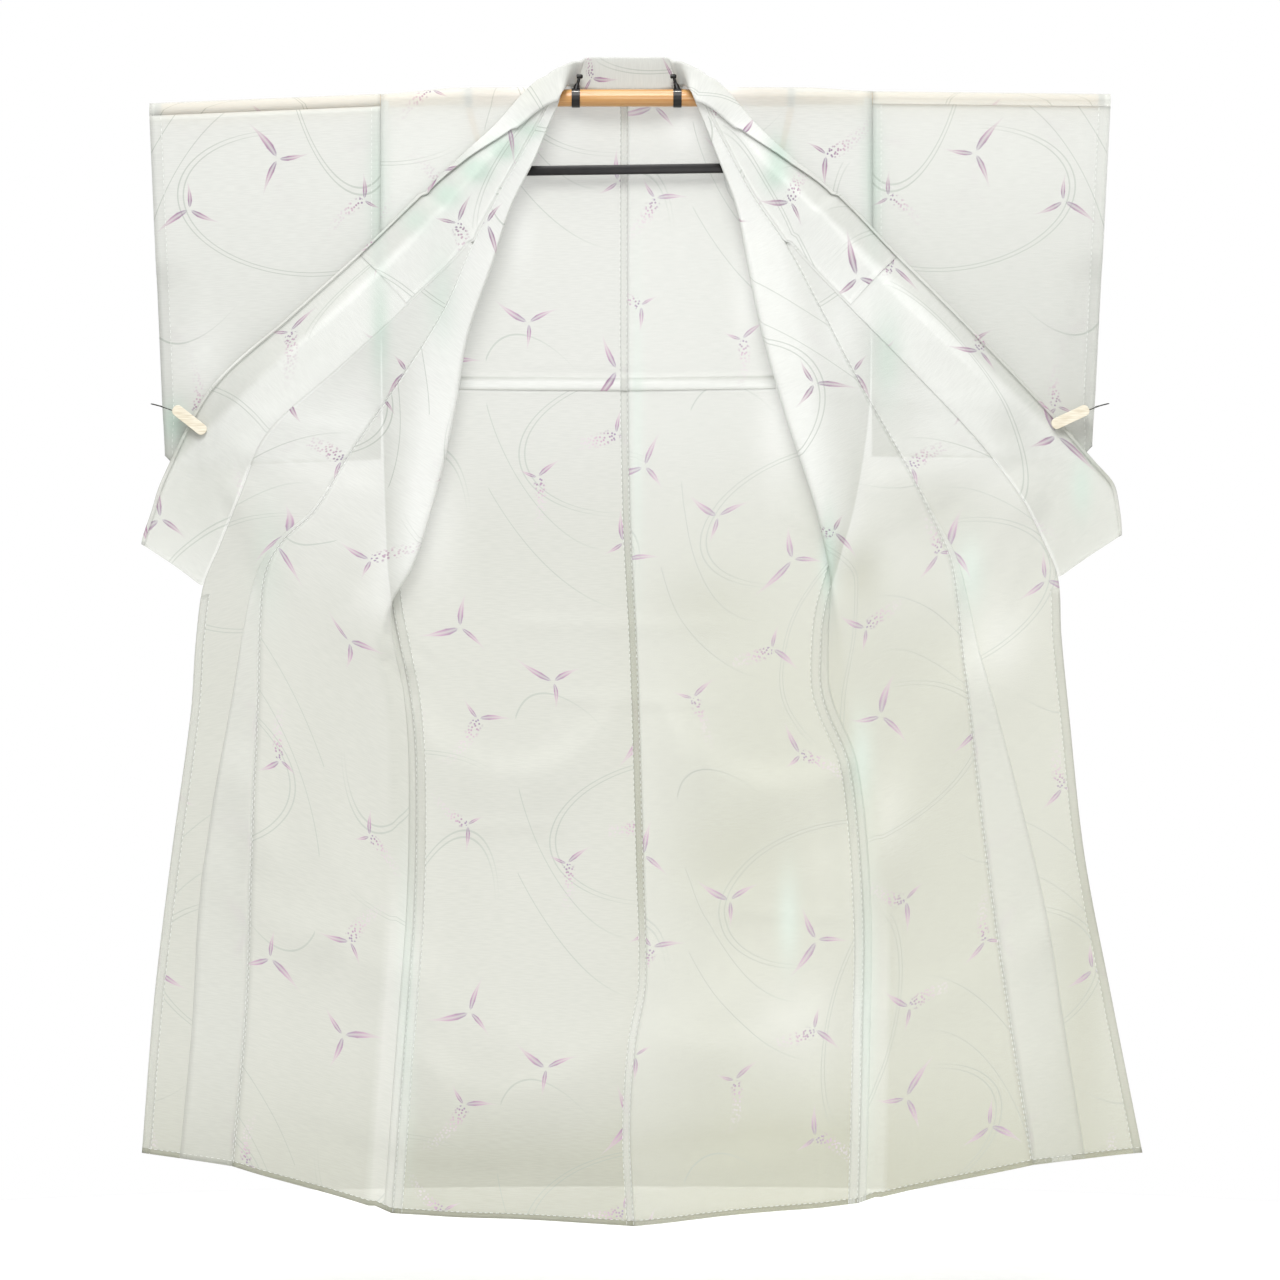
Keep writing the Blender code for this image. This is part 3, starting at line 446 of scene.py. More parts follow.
# Across and down for each side. `down` is the length of cloth from the shoulder, `out` the distance
# from the centre line x = 0, and `drop` the height below the rod.
RUN_COLUMNS = "down side_out fold_out seam_out seam_drop edge_out edge_drop"
RUNS = {
    LEFT: table(
        RUN_COLUMNS,
        (0.00, 0.346, 0.097, 0.108, 0.000, 0.108, 0.000),
        (0.03, 0.346, 0.111, 0.120, 0.026, 0.120, 0.026),
        (0.08, 0.346, 0.131, 0.146, 0.073, 0.146, 0.073),
        (0.15, 0.346, 0.165, 0.182, 0.137, 0.186, 0.135),
        (0.23, 0.346, 0.190, 0.217, 0.206, 0.221, 0.203),
        (0.33, 0.345, 0.223, 0.257, 0.297, 0.300, 0.283),
        (0.45, 0.343, 0.243, 0.321, 0.399, 0.400, 0.375),
        (0.57, 0.340, 0.271, 0.388, 0.497, 0.501, 0.468),
        (0.66, 0.336, 0.300, 0.436, 0.574, 0.542, 0.561),
        (0.72, 0.329, 0.333, 0.479, 0.614, 0.568, 0.624),
        (0.77, 0.319, 0.343, 0.503, 0.655, 0.590, 0.676),
        (0.85, 0.304, 0.331, 0.512, 0.724, 0.601, 0.756),
        (0.95, 0.297, 0.325, 0.515, 0.829, 0.608, 0.853),
        (1.15, 0.300, 0.328, 0.524, 1.050, 0.635, 1.050),
        (1.35, 0.315, 0.343, 0.532, 1.267, 0.659, 1.249),
        (1.567, 0.331, 0.359, 0.551, 1.482, 0.676, 1.463),
    ),
    RIGHT: table(
        RUN_COLUMNS,
        (0.00, 0.336, 0.088, 0.099, 0.000, 0.099, 0.000),
        (0.03, 0.336, 0.101, 0.110, 0.026, 0.110, 0.026),
        (0.08, 0.336, 0.120, 0.135, 0.073, 0.135, 0.073),
        (0.15, 0.336, 0.146, 0.169, 0.136, 0.173, 0.134),
        (0.23, 0.336, 0.162, 0.216, 0.206, 0.220, 0.203),
        (0.33, 0.335, 0.182, 0.264, 0.295, 0.296, 0.285),
        (0.45, 0.331, 0.215, 0.319, 0.401, 0.388, 0.379),
        (0.57, 0.313, 0.253, 0.379, 0.506, 0.479, 0.476),
        (0.66, 0.289, 0.272, 0.419, 0.585, 0.540, 0.555),
        (0.72, 0.272, 0.284, 0.443, 0.639, 0.571, 0.614),
        (0.77, 0.266, 0.290, 0.452, 0.688, 0.592, 0.665),
        (0.85, 0.268, 0.296, 0.461, 0.774, 0.597, 0.746),
        (0.95, 0.305, 0.331, 0.472, 0.868, 0.607, 0.846),
        (1.15, 0.323, 0.351, 0.496, 1.067, 0.629, 1.046),
        (1.35, 0.322, 0.350, 0.524, 1.265, 0.667, 1.245),
        (1.567, 0.317, 0.345, 0.558, 1.480, 0.710, 1.463),
    ),
}

# How far each line stands in front of the rod's centre. `roll` is the radius of the soft fold, and
# `back` the depth of the back's middle behind the rod's centre.
DEPTHS = table(
    "down side fold roll seam edge back",
    (0.00, 0.0108, 0.0148, 0.0045, 0.0245, 0.0245, 0.0225),
    (0.03, 0.0106, 0.0148, 0.0045, 0.0255, 0.0255, 0.0205),
    (0.08, 0.0103, 0.0147, 0.0055, 0.0280, 0.0280, 0.0180),
    (0.15, 0.0098, 0.0146, 0.0075, 0.0340, 0.0342, 0.0160),
    (0.23, 0.0093, 0.0145, 0.0090, 0.0400, 0.0402, 0.0150),
    (0.36, 0.0008, 0.0145, 0.0090, 0.0450, 0.0480, 0.0145),
    (0.45, 0.0008, 0.0145, 0.0090, 0.0460, 0.0500, 0.0140),
    (0.57, 0.0008, 0.0150, 0.0085, 0.0440, 0.0500, 0.0130),
    (0.66, 0.0008, 0.0170, 0.0070, 0.0400, 0.0460, 0.0110),
    (0.72, 0.0010, 0.0220, 0.0050, 0.0350, 0.0380, 0.0100),
    (0.77, 0.0020, 0.0180, 0.0050, 0.0310, 0.0320, 0.0090),
    (0.85, 0.0030, 0.0100, 0.0050, 0.0250, 0.0290, 0.0080),
    (0.95, 0.0040, 0.0070, 0.0050, 0.0190, 0.0260, 0.0070),
    (1.15, 0.0040, 0.0050, 0.0050, 0.0130, 0.0230, 0.0060),
    (1.35, 0.0020, 0.0030, 0.0050, 0.0110, 0.0220, 0.0050),
    (1.567, 0.0000, 0.0020, 0.0050, 0.0120, 0.0230, 0.0050),
)

# The centre back seam, which wanders sideways on its way down.
CENTRES = table(
    "down x",
    (0.00, -0.003),
    (0.40, -0.003),
    (0.60, 0.001),
    (0.77, 0.010),
    (1.07, 0.019),
    (1.23, 0.022),
    (1.31, 0.008),
    (1.43, 0.000),
    (1.567, 0.006),
)

# Soft folds of the hanging skirt: a crest line from its top to its bottom, its half width, and how
# far it comes forward (or goes back, where it is negative).
FOLDS = table(
    "top_x top_z end_x end_z half_width rise",
    (-0.470, -0.62, -0.520, -1.50, 0.045, 0.010),
    (-0.385, -0.70, -0.400, -1.52, 0.050, -0.012),
    (-0.300, -0.72, -0.240, -1.56, 0.045, 0.010),
    (-0.150, -0.80, -0.130, -1.60, 0.060, -0.008),
    (-0.020, -0.85, 0.040, -1.60, 0.050, 0.007),
    (0.150, -0.78, 0.140, -1.60, 0.055, -0.009),
    (0.262, -0.68, 0.260, -1.56, 0.040, 0.012),
    (0.380, -0.70, 0.400, -1.52, 0.055, -0.011),
    (0.500, -0.66, 0.545, -1.50, 0.050, 0.010),
    (0.640, -0.95, 0.680, -1.50, 0.040, -0.008),
)

# Creases that the cloth took from hanging and from storage. Each is a line from one end to the other
# that sags by `sag` in between; `above` and `below` are its half widths, and `rise` how far it stands
# forward (or back, where it is negative).
CREASES = table(
    "from_x from_z to_x to_z sag above below rise",
    # Swags across the skirt, hung from the two pegs, each lit above and ending sharply
    (-0.60, -0.66, 0.53, -0.74, 0.640, 0.040, 0.070, 0.0100),
    (-0.335, -0.830, 0.012, -0.815, 0.120, 0.024, 0.060, 0.0150),
    (0.020, -0.820, 0.335, -0.920, 0.085, 0.024, 0.060, 0.0150),
    (0.290, -1.290, 0.550, -0.700, -0.045, 0.030, 0.065, 0.0160),
    (-0.560, -0.880, -0.380, -1.220, 0.020, 0.024, 0.045, 0.0110),
    (-0.345, -1.300, 0.020, -1.250, 0.110, 0.026, 0.055, 0.0120),
    (0.000, -1.290, 0.300, -1.230, 0.060, 0.024, 0.050, 0.0100),
    (-0.62, -1.02, -0.22, -1.23, 0.050, 0.026, 0.036, 0.0050),
    (0.24, -1.28, 0.66, -1.06, 0.060, 0.022, 0.036, 0.0050),
    (-0.16, -1.46, 0.34, -1.43, 0.045, 0.024, 0.030, 0.0055),
    (-0.50, -1.40, -0.12, -1.50, 0.030, 0.016, 0.030, -0.0045),
    (0.02, -1.10, 0.32, -1.03, 0.045, 0.020, 0.036, 0.0050),
    # Sharper creases where the garment lay folded in a drawer
    (-0.200, -0.724, 0.165, -0.727, 0.004, 0.006, 0.016, 0.0028),
    (-0.145, -0.834, 0.145, -0.843, 0.002, 0.014, 0.006, 0.0026),
    (-0.180, -0.371, 0.100, -0.368, 0.003, 0.010, 0.006, 0.0012),
    (-0.290, -1.010, -0.060, -1.004, 0.002, 0.007, 0.012, 0.0022),
    (0.120, -1.128, 0.330, -1.136, 0.003, 0.012, 0.007, 0.0022),
    # Short ones where the back is gathered up
    (-0.345, -0.742, -0.272, -0.802, 0.006, 0.008, 0.012, 0.0040),
    (-0.352, -0.772, -0.290, -0.842, -0.004, 0.012, 0.008, -0.0034),
    (-0.315, -0.728, -0.262, -0.776, 0.004, 0.008, 0.010, 0.0030),
    (0.205, -0.560, 0.262, -0.604, 0.004, 0.008, 0.012, 0.0024),
    # Tension across the opened fronts, out of each peg
    (-0.580, -0.470, -0.300, -0.560, 0.012, 0.012, 0.018, 0.0018),
    (-0.572, -0.486, -0.345, -0.640, 0.010, 0.014, 0.010, -0.0018),
    (-0.574, -0.510, -0.430, -0.720, 0.008, 0.012, 0.016, 0.0024),
    (-0.585, -0.520, -0.505, -0.760, -0.010, 0.014, 0.010, -0.0022),
    (-0.560, -0.430, -0.270, -0.470, 0.010, 0.010, 0.016, 0.0015),
    (0.580, -0.466, 0.270, -0.545, 0.014, 0.012, 0.018, 0.0018),
    (0.570, -0.484, 0.310, -0.630, 0.010, 0.010, 0.014, -0.0018),
    (0.574, -0.508, 0.400, -0.735, 0.012, 0.016, 0.012, 0.0024),
    (0.588, -0.520, 0.500, -0.790, 0.010, 0.010, 0.016, -0.0022),
    (0.555, -0.425, 0.235, -0.400, 0.012, 0.016, 0.010, 0.0015),
)

# The tuck across the back: how far down the cloth and how far forward each line of the pleat lies.
TUCK = [
    (0.3860, 0.0000),
    (0.3880, 0.0012),
    (0.3950, 0.0017),
    (0.4020, 0.0021),
    (0.4055, 0.0021),
    (0.4068, 0.0016),
    (0.4055, 0.0012),
    (0.4020, 0.0010),
    (0.3950, 0.0009),
    (0.3890, 0.0008),
    (0.3880, 0.0004),
    (0.3895, 0.0000),
    (0.3960, 0.0000),
    (0.4040, 0.0000),
]


def smooth(t):
    """0 up to 0, 1 from 1 on, and a soft step in between."""
    t = min(max(t, 0.0), 1.0)
    return t * t * (3 - 2 * t)


def mix(a, b, t):
    """The value this share of the way from a to b."""
    return a + (b - a) * t


def curve(a, b, leave, arrive, t):
    """The place at t on a smooth curve from a to b that leaves and arrives at these slopes."""
    return (
        a * (1 + 2 * t) * (1 - t) ** 2
        + leave * t * (1 - t) ** 2
        + b * t * t * (3 - 2 * t)
        - arrive * t * t * (1 - t)
    )


def slope(rows, i, name):
    """The slope of a column at row i, from its neighbours."""
    low, high = max(i - 1, 0), min(i + 1, len(rows) - 1)
    rise = getattr(rows[high], name) - getattr(rows[low], name)
    return rise / (rows[high][0] - rows[low][0])


def read(rows, at, name):
    """A table's column at a value of its first column, on a smooth curve through the rows."""
    at = min(max(at, rows[0][0]), rows[-1][0])
    i = max(k for k, row in enumerate(rows[:-1]) if row[0] <= at)
    step = rows[i + 1][0] - rows[i][0]
    a, b = getattr(rows[i], name), getattr(rows[i + 1], name)
    leave, arrive = slope(rows, i, name) * step, slope(rows, i + 1, name) * step
    return curve(a, b, leave, arrive, (at - rows[i][0]) / step)


def wrap_radius(x):
    """The radius of the cloth round the hanger, wider over its thick middle length."""
    return mix(MIDDLE_WRAP, ARM_WRAP, smooth((abs(x) - 0.245) / 0.09))


def skirt_folds(x, z):
    """How far the soft folds of the skirt bring a point forward."""
    total = 0.0
    for fold in FOLDS:
        t = (z - fold.top_z) / (fold.end_z - fold.top_z)
        crest_x = mix(fold.top_x, fold.end_x, t)
        fade = smooth(t / 0.35)
        total += fold.rise * fade * math.exp(-(((x - crest_x) / fold.half_width) ** 2))
    return total


def hung(point, down):
    """A point of the cloth with the soft folds of the skirt added, from 60 cm below the shoulder."""
    loose = smooth((down - 0.60) / 0.25)
    return point - Vector((0, skirt_folds(point.x, point.z) * loose, 0)) if loose else point


def creased(point):
    """A point of the cloth moved forward by the creases, the same for every layer that lies there."""
    forward = 0.0
    for crease in CREASES:
        way_x, way_z = crease.to_x - crease.from_x, crease.to_z - crease.from_z
        length = math.hypot(way_x, way_z)
        from_x, from_z = point.x - crease.from_x, point.z - crease.from_z
        t = (from_x * way_x + from_z * way_z) / length**2
        if not 0 < t < 1:
            continue
        off = (way_x * from_z - way_z * from_x) / length * (1 if way_x > 0 else -1)
        bow = crease.sag * 4 * t * (1 - t)
        lean = crease.sag * 4 * (1 - 2 * t) / length
        off = (off + bow) / math.sqrt(1 + lean * lean)
        width = crease.above if off > 0 else crease.below
        if abs(off) > width * 2.6:
            continue
        ends = smooth(t / 0.22) * smooth((1 - t) / 0.22)
        uneven = 0.8 + 0.2 * math.sin(t * 17 + crease.rise * 4000)
        forward += crease.rise * ends * uneven * math.exp(-((off / width) ** 2))
    return Vector((point.x, point.y - forward, point.z))


def side_point(side, down, front):
    """The side edge of the body panel, in front or behind."""
    x = side * read(RUNS[side], down, "side_out")
    z = rod_height(x) * (1 - smooth(down / 0.4)) - down + HEM_LIFT[side] * smooth(down / LENGTH)
    depth = read(DEPTHS, down, "side")
    if down <= ARMHOLE:
        depth = mix(ARM_WRAP, ARMHOLE_WRAP, down / ARMHOLE)
    if down < SIDE_SEAM_START:
        return Vector((x, -depth if front else depth, z))
    # Face to face where the front is folded over the back, edge to edge below that
    opened = smooth((down - 0.60) / 0.14)
    apart_y = (CAD_WALL + SEAM_GAP) / 2 * (1 - opened)
    away = 1 if front else -1
    return Vector((x, -max(depth - 0.0008, 0.0) - away * apart_y, z))


def edge_run(side, down, line):
    """A point on the seam or the outer edge of a front, from the two tables."""
    out = read(RUNS[side], down, line + "_out")
    drop = read(RUNS[side], down, line + "_drop")
    return Vector((side * out, -read(DEPTHS, down, line), -drop))


def rolled(start, heading, inward, radius, angle, step):
    """A point on a fold that starts in one direction and turns by an angle."""
    t = angle * step
    return start + heading * (radius * math.sin(t)) + inward * (radius * (1 - math.cos(t)))


def front_section(side, down):
    """Points across the front: its first layer, the soft fold at its tip, and its second layer."""
    first = side_point(side, down, front=True)
    last = edge_run(side, down, "seam")
    tip = Vector((side * read(RUNS[side], down, "fold_out"), -read(DEPTHS, down, "fold"), first.z))
    tip.z = mix(first.z, last.z, smooth((down - 0.66) / 0.2) * 0.15)
    heading = (tip - first).normalized()
    flat = Vector((heading.x, heading.y, 0)).normalized()
    toward = Vector((-side * flat.y, side * flat.x, 0))
    leaving = (last - tip).normalized()
    angle = math.atan2(max(leaving.dot(toward), 0.02), leaving.dot(flat))
    radius = max(read(DEPTHS, down, "roll"), 0.009 / angle)
    start = tip - flat * min(radius * math.tan(min(angle, 1.5) / 2), radius)
    points = [first.lerp(start, k / FIRST_LAYER_STEPS) for k in range(FIRST_LAYER_STEPS)]
    points += [rolled(start, flat, toward, radius, angle, k / ROLL_STEPS) for k in range(ROLL_STEPS)]
    after = rolled(start, flat, toward, radius, angle, 1)
    points += [after.lerp(last, k / SECOND_LAYER_STEPS) for k in range(SECOND_LAYER_STEPS + 1)]
    return [hung(p, down) for p in points]


def shoulder_section(side, turn):
    """Points across the panel where it lies on the hanger. turn is 0 behind it and 1 in front."""
    around = math.pi * turn
    up = Vector((0, math.cos(around), math.sin(around)))
    inward = Vector((-side, 0, 0))
    side_x = side * read(RUNS[side], 0, "side_out")
    tip_x = side * (read(RUNS[side], 0, "fold_out") - 0.007 * (1 - turn))
    angle = math.radians(mix(2, 175, smooth(turn)))
    radius = max(0.0035, 0.007 / angle)
    start_x = tip_x - inward.x * min(radius * math.tan(min(angle, 1.5) / 2), radius)
    points = []
    for k in range(FIRST_LAYER_STEPS + 1):
        x = mix(side_x, start_x, k / FIRST_LAYER_STEPS)
        points.append(Vector((x, 0, rod_height(x))) + up * wrap_radius(x))
    start = points.pop()
    points += [rolled(start, inward, up, radius, angle, k / ROLL_STEPS) for k in range(ROLL_STEPS)]
    after = rolled(start, inward, up, radius, angle, 1)
    last = after + (inward * math.cos(angle) + up * math.sin(angle)) * 0.004
    points += [after.lerp(last, k / SECOND_LAYER_STEPS) for k in range(SECOND_LAYER_STEPS + 1)]
    return points


def back_section(side, down, forward=0.0):
    """Points across the back panel, from the side edge to the centre back seam."""
    top = shoulder_section(side, 0)
    steps = FRONT_STEPS + NECK_STEPS
    inner_x = top[-1].x
    top += [Vector((mix(inner_x, CENTRE_X, k / NECK_STEPS), 0, 0)) for k in range(1, NECK_STEPS + 1)]
    for k in range(FRONT_STEPS + 1, steps + 1):
        rise = smooth((k - FRONT_STEPS) / NECK_STEPS * 1.5)
        top[k].y = mix(wrap_radius(inner_x), NECK_BACK_Y, rise)
    edge = side_point(side, down, front=False) if down else top[0]
    middle = Vector((read(CENTRES, down, "x"), read(DEPTHS, down, "back"), -down))
    spread = smooth(down / 0.2)
    points = []
    for k, p in enumerate(top):
        near_top = (p.x - top[0].x) / (top[-1].x - top[0].x)
        across = mix(near_top, k / steps, spread)
        y = mix(edge.y, middle.y, math.sin(math.pi / 2 * min(across / 0.6, 1)))
        y = mix(p.y, y, smooth(down / 0.12)) - forward * smooth(across * 5)
        x, z = mix(edge.x, middle.x, across), mix(edge.z, middle.z, across)
        if down < 0.2:
            z = mix(p.z, z + down, spread) - down
        points.append(hung(Vector((x, y, z)), down))
    return points


def lengths(start, end):
    """Lengths of cloth from start to end, a row of the mesh for each."""
    count = max(round((end - start) / ROW_STEP), 1)
    return [mix(start, end, k / count) for k in range(count + 1)]


def panel_rows(side):
    """The whole panel from the back hem to the front hem: the length at each row, and its points."""
    fold = sum(abs(a[0] - b[0]) for a, b in zip(TUCK, TUCK[1:])) - (TUCK[-1][0] - TUCK[0][0])
    rows = [(-d - fold, back_section(side, d)) for d in reversed(lengths(TUCK_TO, LENGTH))]
    along = -TUCK[-1][0] - fold
    for k, (down, forward) in reversed(list(enumerate(TUCK))):
        rows.append((along, back_section(side, down, forward)))
        along += abs(down - TUCK[max(k - 1, 0)][0])
    rows += [(-d, back_section(side, d)) for d in reversed(lengths(0, TUCK_FROM))]
    blank = [None] * NECK_STEPS
    for k in range(1, WRAP_STEPS + 1):
        share = k / WRAP_STEPS
        rows.append((SHOULDER_CLOTH * share, shoulder_section(side, share) + blank))
    for d in lengths(0, LENGTH)[1:]:
        rows.append((SHOULDER_CLOTH + d, front_section(side, d) + blank))
    return [(along, [p and creased(p) for p in points]) for along, points in rows]


def draped(name, rows, material, *nodes, dye=None, turned_over=False, origin=(0, 0)):
    """A sheet of cloth laid on rows of points, with its flat place in metres as its UV map and its
    painted shading and tint on its points. Where a row has no point, the sheet is open."""
    grid = bmesh.new()
    flat = grid.loops.layers.uv.new("flat")
    tint = grid.verts.layers.float_color.new("dye")
    bmesh.ops.create_grid(grid, x_segments=len(rows[0][1]) - 1, y_segments=len(rows) - 1, size=0.5)
    corners = sorted(grid.verts, key=lambda v: (round(v.co.y, 5), round(v.co.x, 5)))
    places, open_part = {}, []
    corner = iter(corners)
    for along, points in rows:
        across, last = 0.0, points[0]
        for point in points:
            vert = next(corner)
            if point is None:
                open_part.append(vert)
                continue
            across += (point - last).length
            last = point
            vert.co = point
            vert[tint] = dye(along, point) if dye else (1, 0, 0, 1)
            places[vert] = (origin[0] + (-across if turned_over else across), origin[1] + along)
    bmesh.ops.delete(grid, geom=open_part, context="VERTS")
    for face in grid.faces:
        for loop in face.loops:
            loop[flat].uv = places[loop.vert]
    piece = finished(name, grid, material, *nodes, sharp=180)
    shell = piece.modifiers.new("Wall", "SOLIDIFY")
    shell.thickness, shell.offset = GAUZE, 0
    if material in (gauze, pressed):
        piece.data.materials.append(reverse)
        shell.material_offset = 1
    return piece


# The print, charted as a repeat of three by four cells, as wide as the bolt: where in each cell
# a sprig stands, how far it is turned, how long its leaves are as a share of 6.6 cm, and whether one of
# its three leaves gives way to a trail of dots. The cells of each column lie half a cell further down.
CELL = (0.125, 0.135)
CELLS = [
    (0.44, 0.50, 0.27, 0.86, 0),
    (0.52, 0.42, 0.55, 0.66, 1),
    (0.50, 0.50, 0.10, 0.00, 0),
    (0.50, 0.50, 0.40, 0.00, 0),
    (0.56, 0.54, 0.92, 0.70, 1),
    (0.45, 0.58, 0.70, 0.58, 1),
    (0.58, 0.44, 0.06, 0.54, 1),
    (0.54, 0.48, 0.16, 0.90, 0),
    (0.50, 0.50, 0.20, 0.00, 0),
    (0.42, 0.55, 0.80, 0.66, 1),
    (0.50, 0.50, 0.90, 0.00, 0),
    (0.52, 0.46, 0.40, 0.78, 0),
]
LONGEST_LEAF = 0.066
# Thin bent stalks that cross the repeat, one or two side by side, each a part of an ellipse: its centre,
# half its width and half its length in metres, how far it is turned in degrees, and the second one's size
STALKS = [
    (0.105, 0.150, 0.068, 0.165, 12, 1.06),
    (0.275, 0.350, 0.085, 0.180, -24, 1.50),
    (0.165, 0.330, 0.160, 0.095, -10, 1.05),
]


def woven_ground(tree, flat):
    """The ground's colour and relief: painted whiter where cloth lies on cloth and greyer in shade, a
    painted mint tint where it lies in shade, creamier in the skirt, and uneven along its threads."""
    dye = wire(tree, "Attribute", attribute_name="dye")
    white, mint, cream = wire(tree, "SeparateColor", [dye]).node.outputs
    ground = "#A5A69B"
    # The white share is painted light and shade, the mint share a painted tint of shade, the cream a cream tint
    for share, colour in ((cream, "#A5A58A"), (white, "#F1F2EF"), (mint, "#C9DCD0")):
        ground = wire(tree, "Mix", {0: share, 6: ground, 7: colour}, output=2, data_type="RGBA")
    slubs = wire(tree, "Mapping", {"Vector": flat, "Scale": (60, 700, 1)})
    slubs = wire(tree, "TexNoise", {"Vector": slubs, "Scale": 1.0, "Detail": 0.0}, noise_dimensions="2D")
    uneven = {"Value": slubs, "From Min": 0.3, "From Max": 0.7, "To Min": 0.97, "To Max": 1.02}
    thread = wire(tree, "MapRange", uneven)
    ground = wire(tree, "VectorMath SCALE", {0: ground, "Scale": thread})
    relief = wire(tree, "Bump", {"Strength": 0.25, "Distance": 0.0004, "Height": slubs})
    return ground, relief


def made_sheer(tree, colour, relief=None, lit_through=0.22, covered=0.78):
    """Cloth of this colour with the open weave's holes, a part of its light coming through the threads."""
    shader = tree.nodes["Principled BSDF"]
    tree.links.new(colour, shader.inputs["Base Color"])
    if relief:
        tree.links.new(relief, shader.inputs["Normal"])
    through = wire(tree, "BsdfTranslucent", {"Color": colour})
    woven = wire(tree, "MixShader", [lit_through, shader.outputs[0], through])
    holes = wire(tree, "BsdfTransparent")
    sheer = wire(tree, "MixShader", [covered, holes, woven])
    tree.links.new(sheer, tree.nodes["Material Output"].inputs["Surface"])


def printed_gauze():
    """Sheer summer gauze, plain woven from fine hard twisted thread and printed by stencil.

    Its threads lie 0.5 mm apart, too fine for the picture, so they are drawn 1.5 to 3 mm apart. The open
    weave lets about a fifth of the light through, and the leaves are lilac, darker at their feet."""
    values = {"Roughness": 0.78, "Sheen_Weight": 0.12, "Sheen_Roughness": 0.5}
    made, tree = begun("printed_sheer_gauze", "printed_sheer_cloth", **values)
    flat = wire(tree, "TexCoord", output="UV")
    # Which cell of the chart, and where in it
    in_cells = wire(tree, "VectorMath MULTIPLY", [flat, (1 / CELL[0], 1 / CELL[1], 0)])
    split = wire(tree, "SeparateXYZ", [in_cells])
    column = wire(tree, "Math FLOOR", [split])
    dropped = wire(tree, "Math MULTIPLY_ADD", [column, 0.5, split.node.outputs[1]])
    in_cells = wire(tree, "CombineXYZ", [split, dropped])
    cell = wire(tree, "VectorMath FLOOR", [in_cells])
    inside = wire(tree, "VectorMath FRACTION", [in_cells])
    cell = wire(tree, "VectorMath WRAP", [cell, (3, 4, 1), (0, 0, 0)])
    count = len(CELLS)
    number = [cell, (1 / count, 3 / count, 0)]
    cell = wire(tree, "VectorMath DOT_PRODUCT", number, output=1)
    charts = []
    for values in ([(*row[:2], 0, 1) for row in CELLS], [(*row[2:], 1) for row in CELLS]):
        stops = [(max((k - 0.5) / count, 0), value) for k, value in enumerate(values)]
        charts.append(wire(tree, "ValToRGB", [cell], stops=stops))
        charts[-1].node.color_ramp.interpolation = "CONSTANT"
    centre, sprig = charts
    sprig, leaf_length, trail = wire(tree, "SeparateColor", [sprig]).node.outputs
    # One leaf of the sprig's three, along and aside from its middle line
    local = wire(tree, "VectorMath SUBTRACT", [inside, centre])
    local = wire(tree, "VectorMath MULTIPLY", [local, (*CELL, 0)])
    parts = wire(tree, "SeparateXYZ", [local])
    angle = wire(tree, "Math ARCTAN2", [parts.node.outputs[1], parts])
    angle = wire(tree, "Math MULTIPLY_ADD", [sprig, -math.tau, angle])
    third = math.pi / 3
    beside_leaf = wire(tree, "Math WRAP", [angle, third, -third])
    which = wire(tree, "Math SUBTRACT", [angle, beside_leaf])
    which = wire(tree, "Math WRAP", [which, math.pi, -math.pi])
    shorter = wire(tree, "Math MULTIPLY_ADD", [which, 0.09, 1.05])
    reach = wire(tree, "VectorMath SCALE", {0: local, "Scale": shorter})
    reach = wire(tree, "VectorMath LENGTH", [reach], output="Value")
    reach = wire(tree, "Math DIVIDE", [reach, leaf_length])
    reach = wire(tree, "Math MULTIPLY", [reach, 1 / LONGEST_LEAF])
    along = wire(tree, "Math COSINE", [beside_leaf])
    along = wire(tree, "Math MULTIPLY", [reach, along])
    aside = wire(tree, "Math SINE", [beside_leaf])
    aside = wire(tree, "Math MULTIPLY", [reach, aside])
    bow = wire(tree, "Math MULTIPLY", [along, along])
    aside = wire(tree, "Math MULTIPLY_ADD", [bow, -0.20, aside])
    aside = wire(tree, "Math ABSOLUTE", [aside])
    # The colour along a leaf, and in the alpha how wide it is there
    shades = [
        (0.04, "#7A5A8C", 0.00),
        (0.12, "#7F5B88", 0.60),
        (0.30, "#96698F", 1.00),
        (0.48, "#B383A5", 0.84),
        (0.68, "#C49DB5", 0.42),
        (1.00, "#D2BCCB", 0.00),
    ]
    stops = [(place, linear(colour)[:3] + [wide]) for place, colour, wide in shades]
    leaf = wire(tree, "ValToRGB", [along], stops=stops)
    inner = wire(tree, "Math MULTIPLY", [leaf.node.outputs[1], 0.082])
    inner = wire(tree, "Math SUBTRACT", [inner, aside])
    inner = wire(tree, "MapRange", {"Value": inner, "From Min": 0.0, "From Max": 0.02})
    rib = wire(tree, "MapRange", {"Value": aside, "From Min": 0.0, "From Max": 0.045, "To Min": 0.30})
    inner = wire(tree, "Math MULTIPLY", [inner, rib])
    # Where one leaf is left out, a trail of dots takes its place
    trail_side = wire(tree, "Math COMPARE", [which, 0.0, 0.5])
    open_place = wire(tree, "Math MULTIPLY", [trail_side, trail])
    scattered = {"Vector": flat, "Scale": 205.0, "Randomness": 0.9}
    dots = wire(tree, "TexVoronoi", scattered, voronoi_dimensions="2D")
    dots = wire(tree, "MapRange", {"Value": dots, "From Min": 0.38, "From Max": 0.22})
    band = wire(tree, "MapRange", {"Value": aside, "From Min": 0.26, "From Max": 0.12})
    fade = wire(tree, "MapRange", {"Value": along, "From Min": 2.0, "From Max": 0.4, "To Max": 0.9})
    dots = wire(tree, "Math MULTIPLY", [dots, band])
    dots = wire(tree, "Math MULTIPLY", [dots, fade])
    print_mask = wire(tree, "Mix", {0: open_place, 2: inner, 3: dots})
    print_mask = wire(tree, "Math MULTIPLY", [print_mask, 0.92])
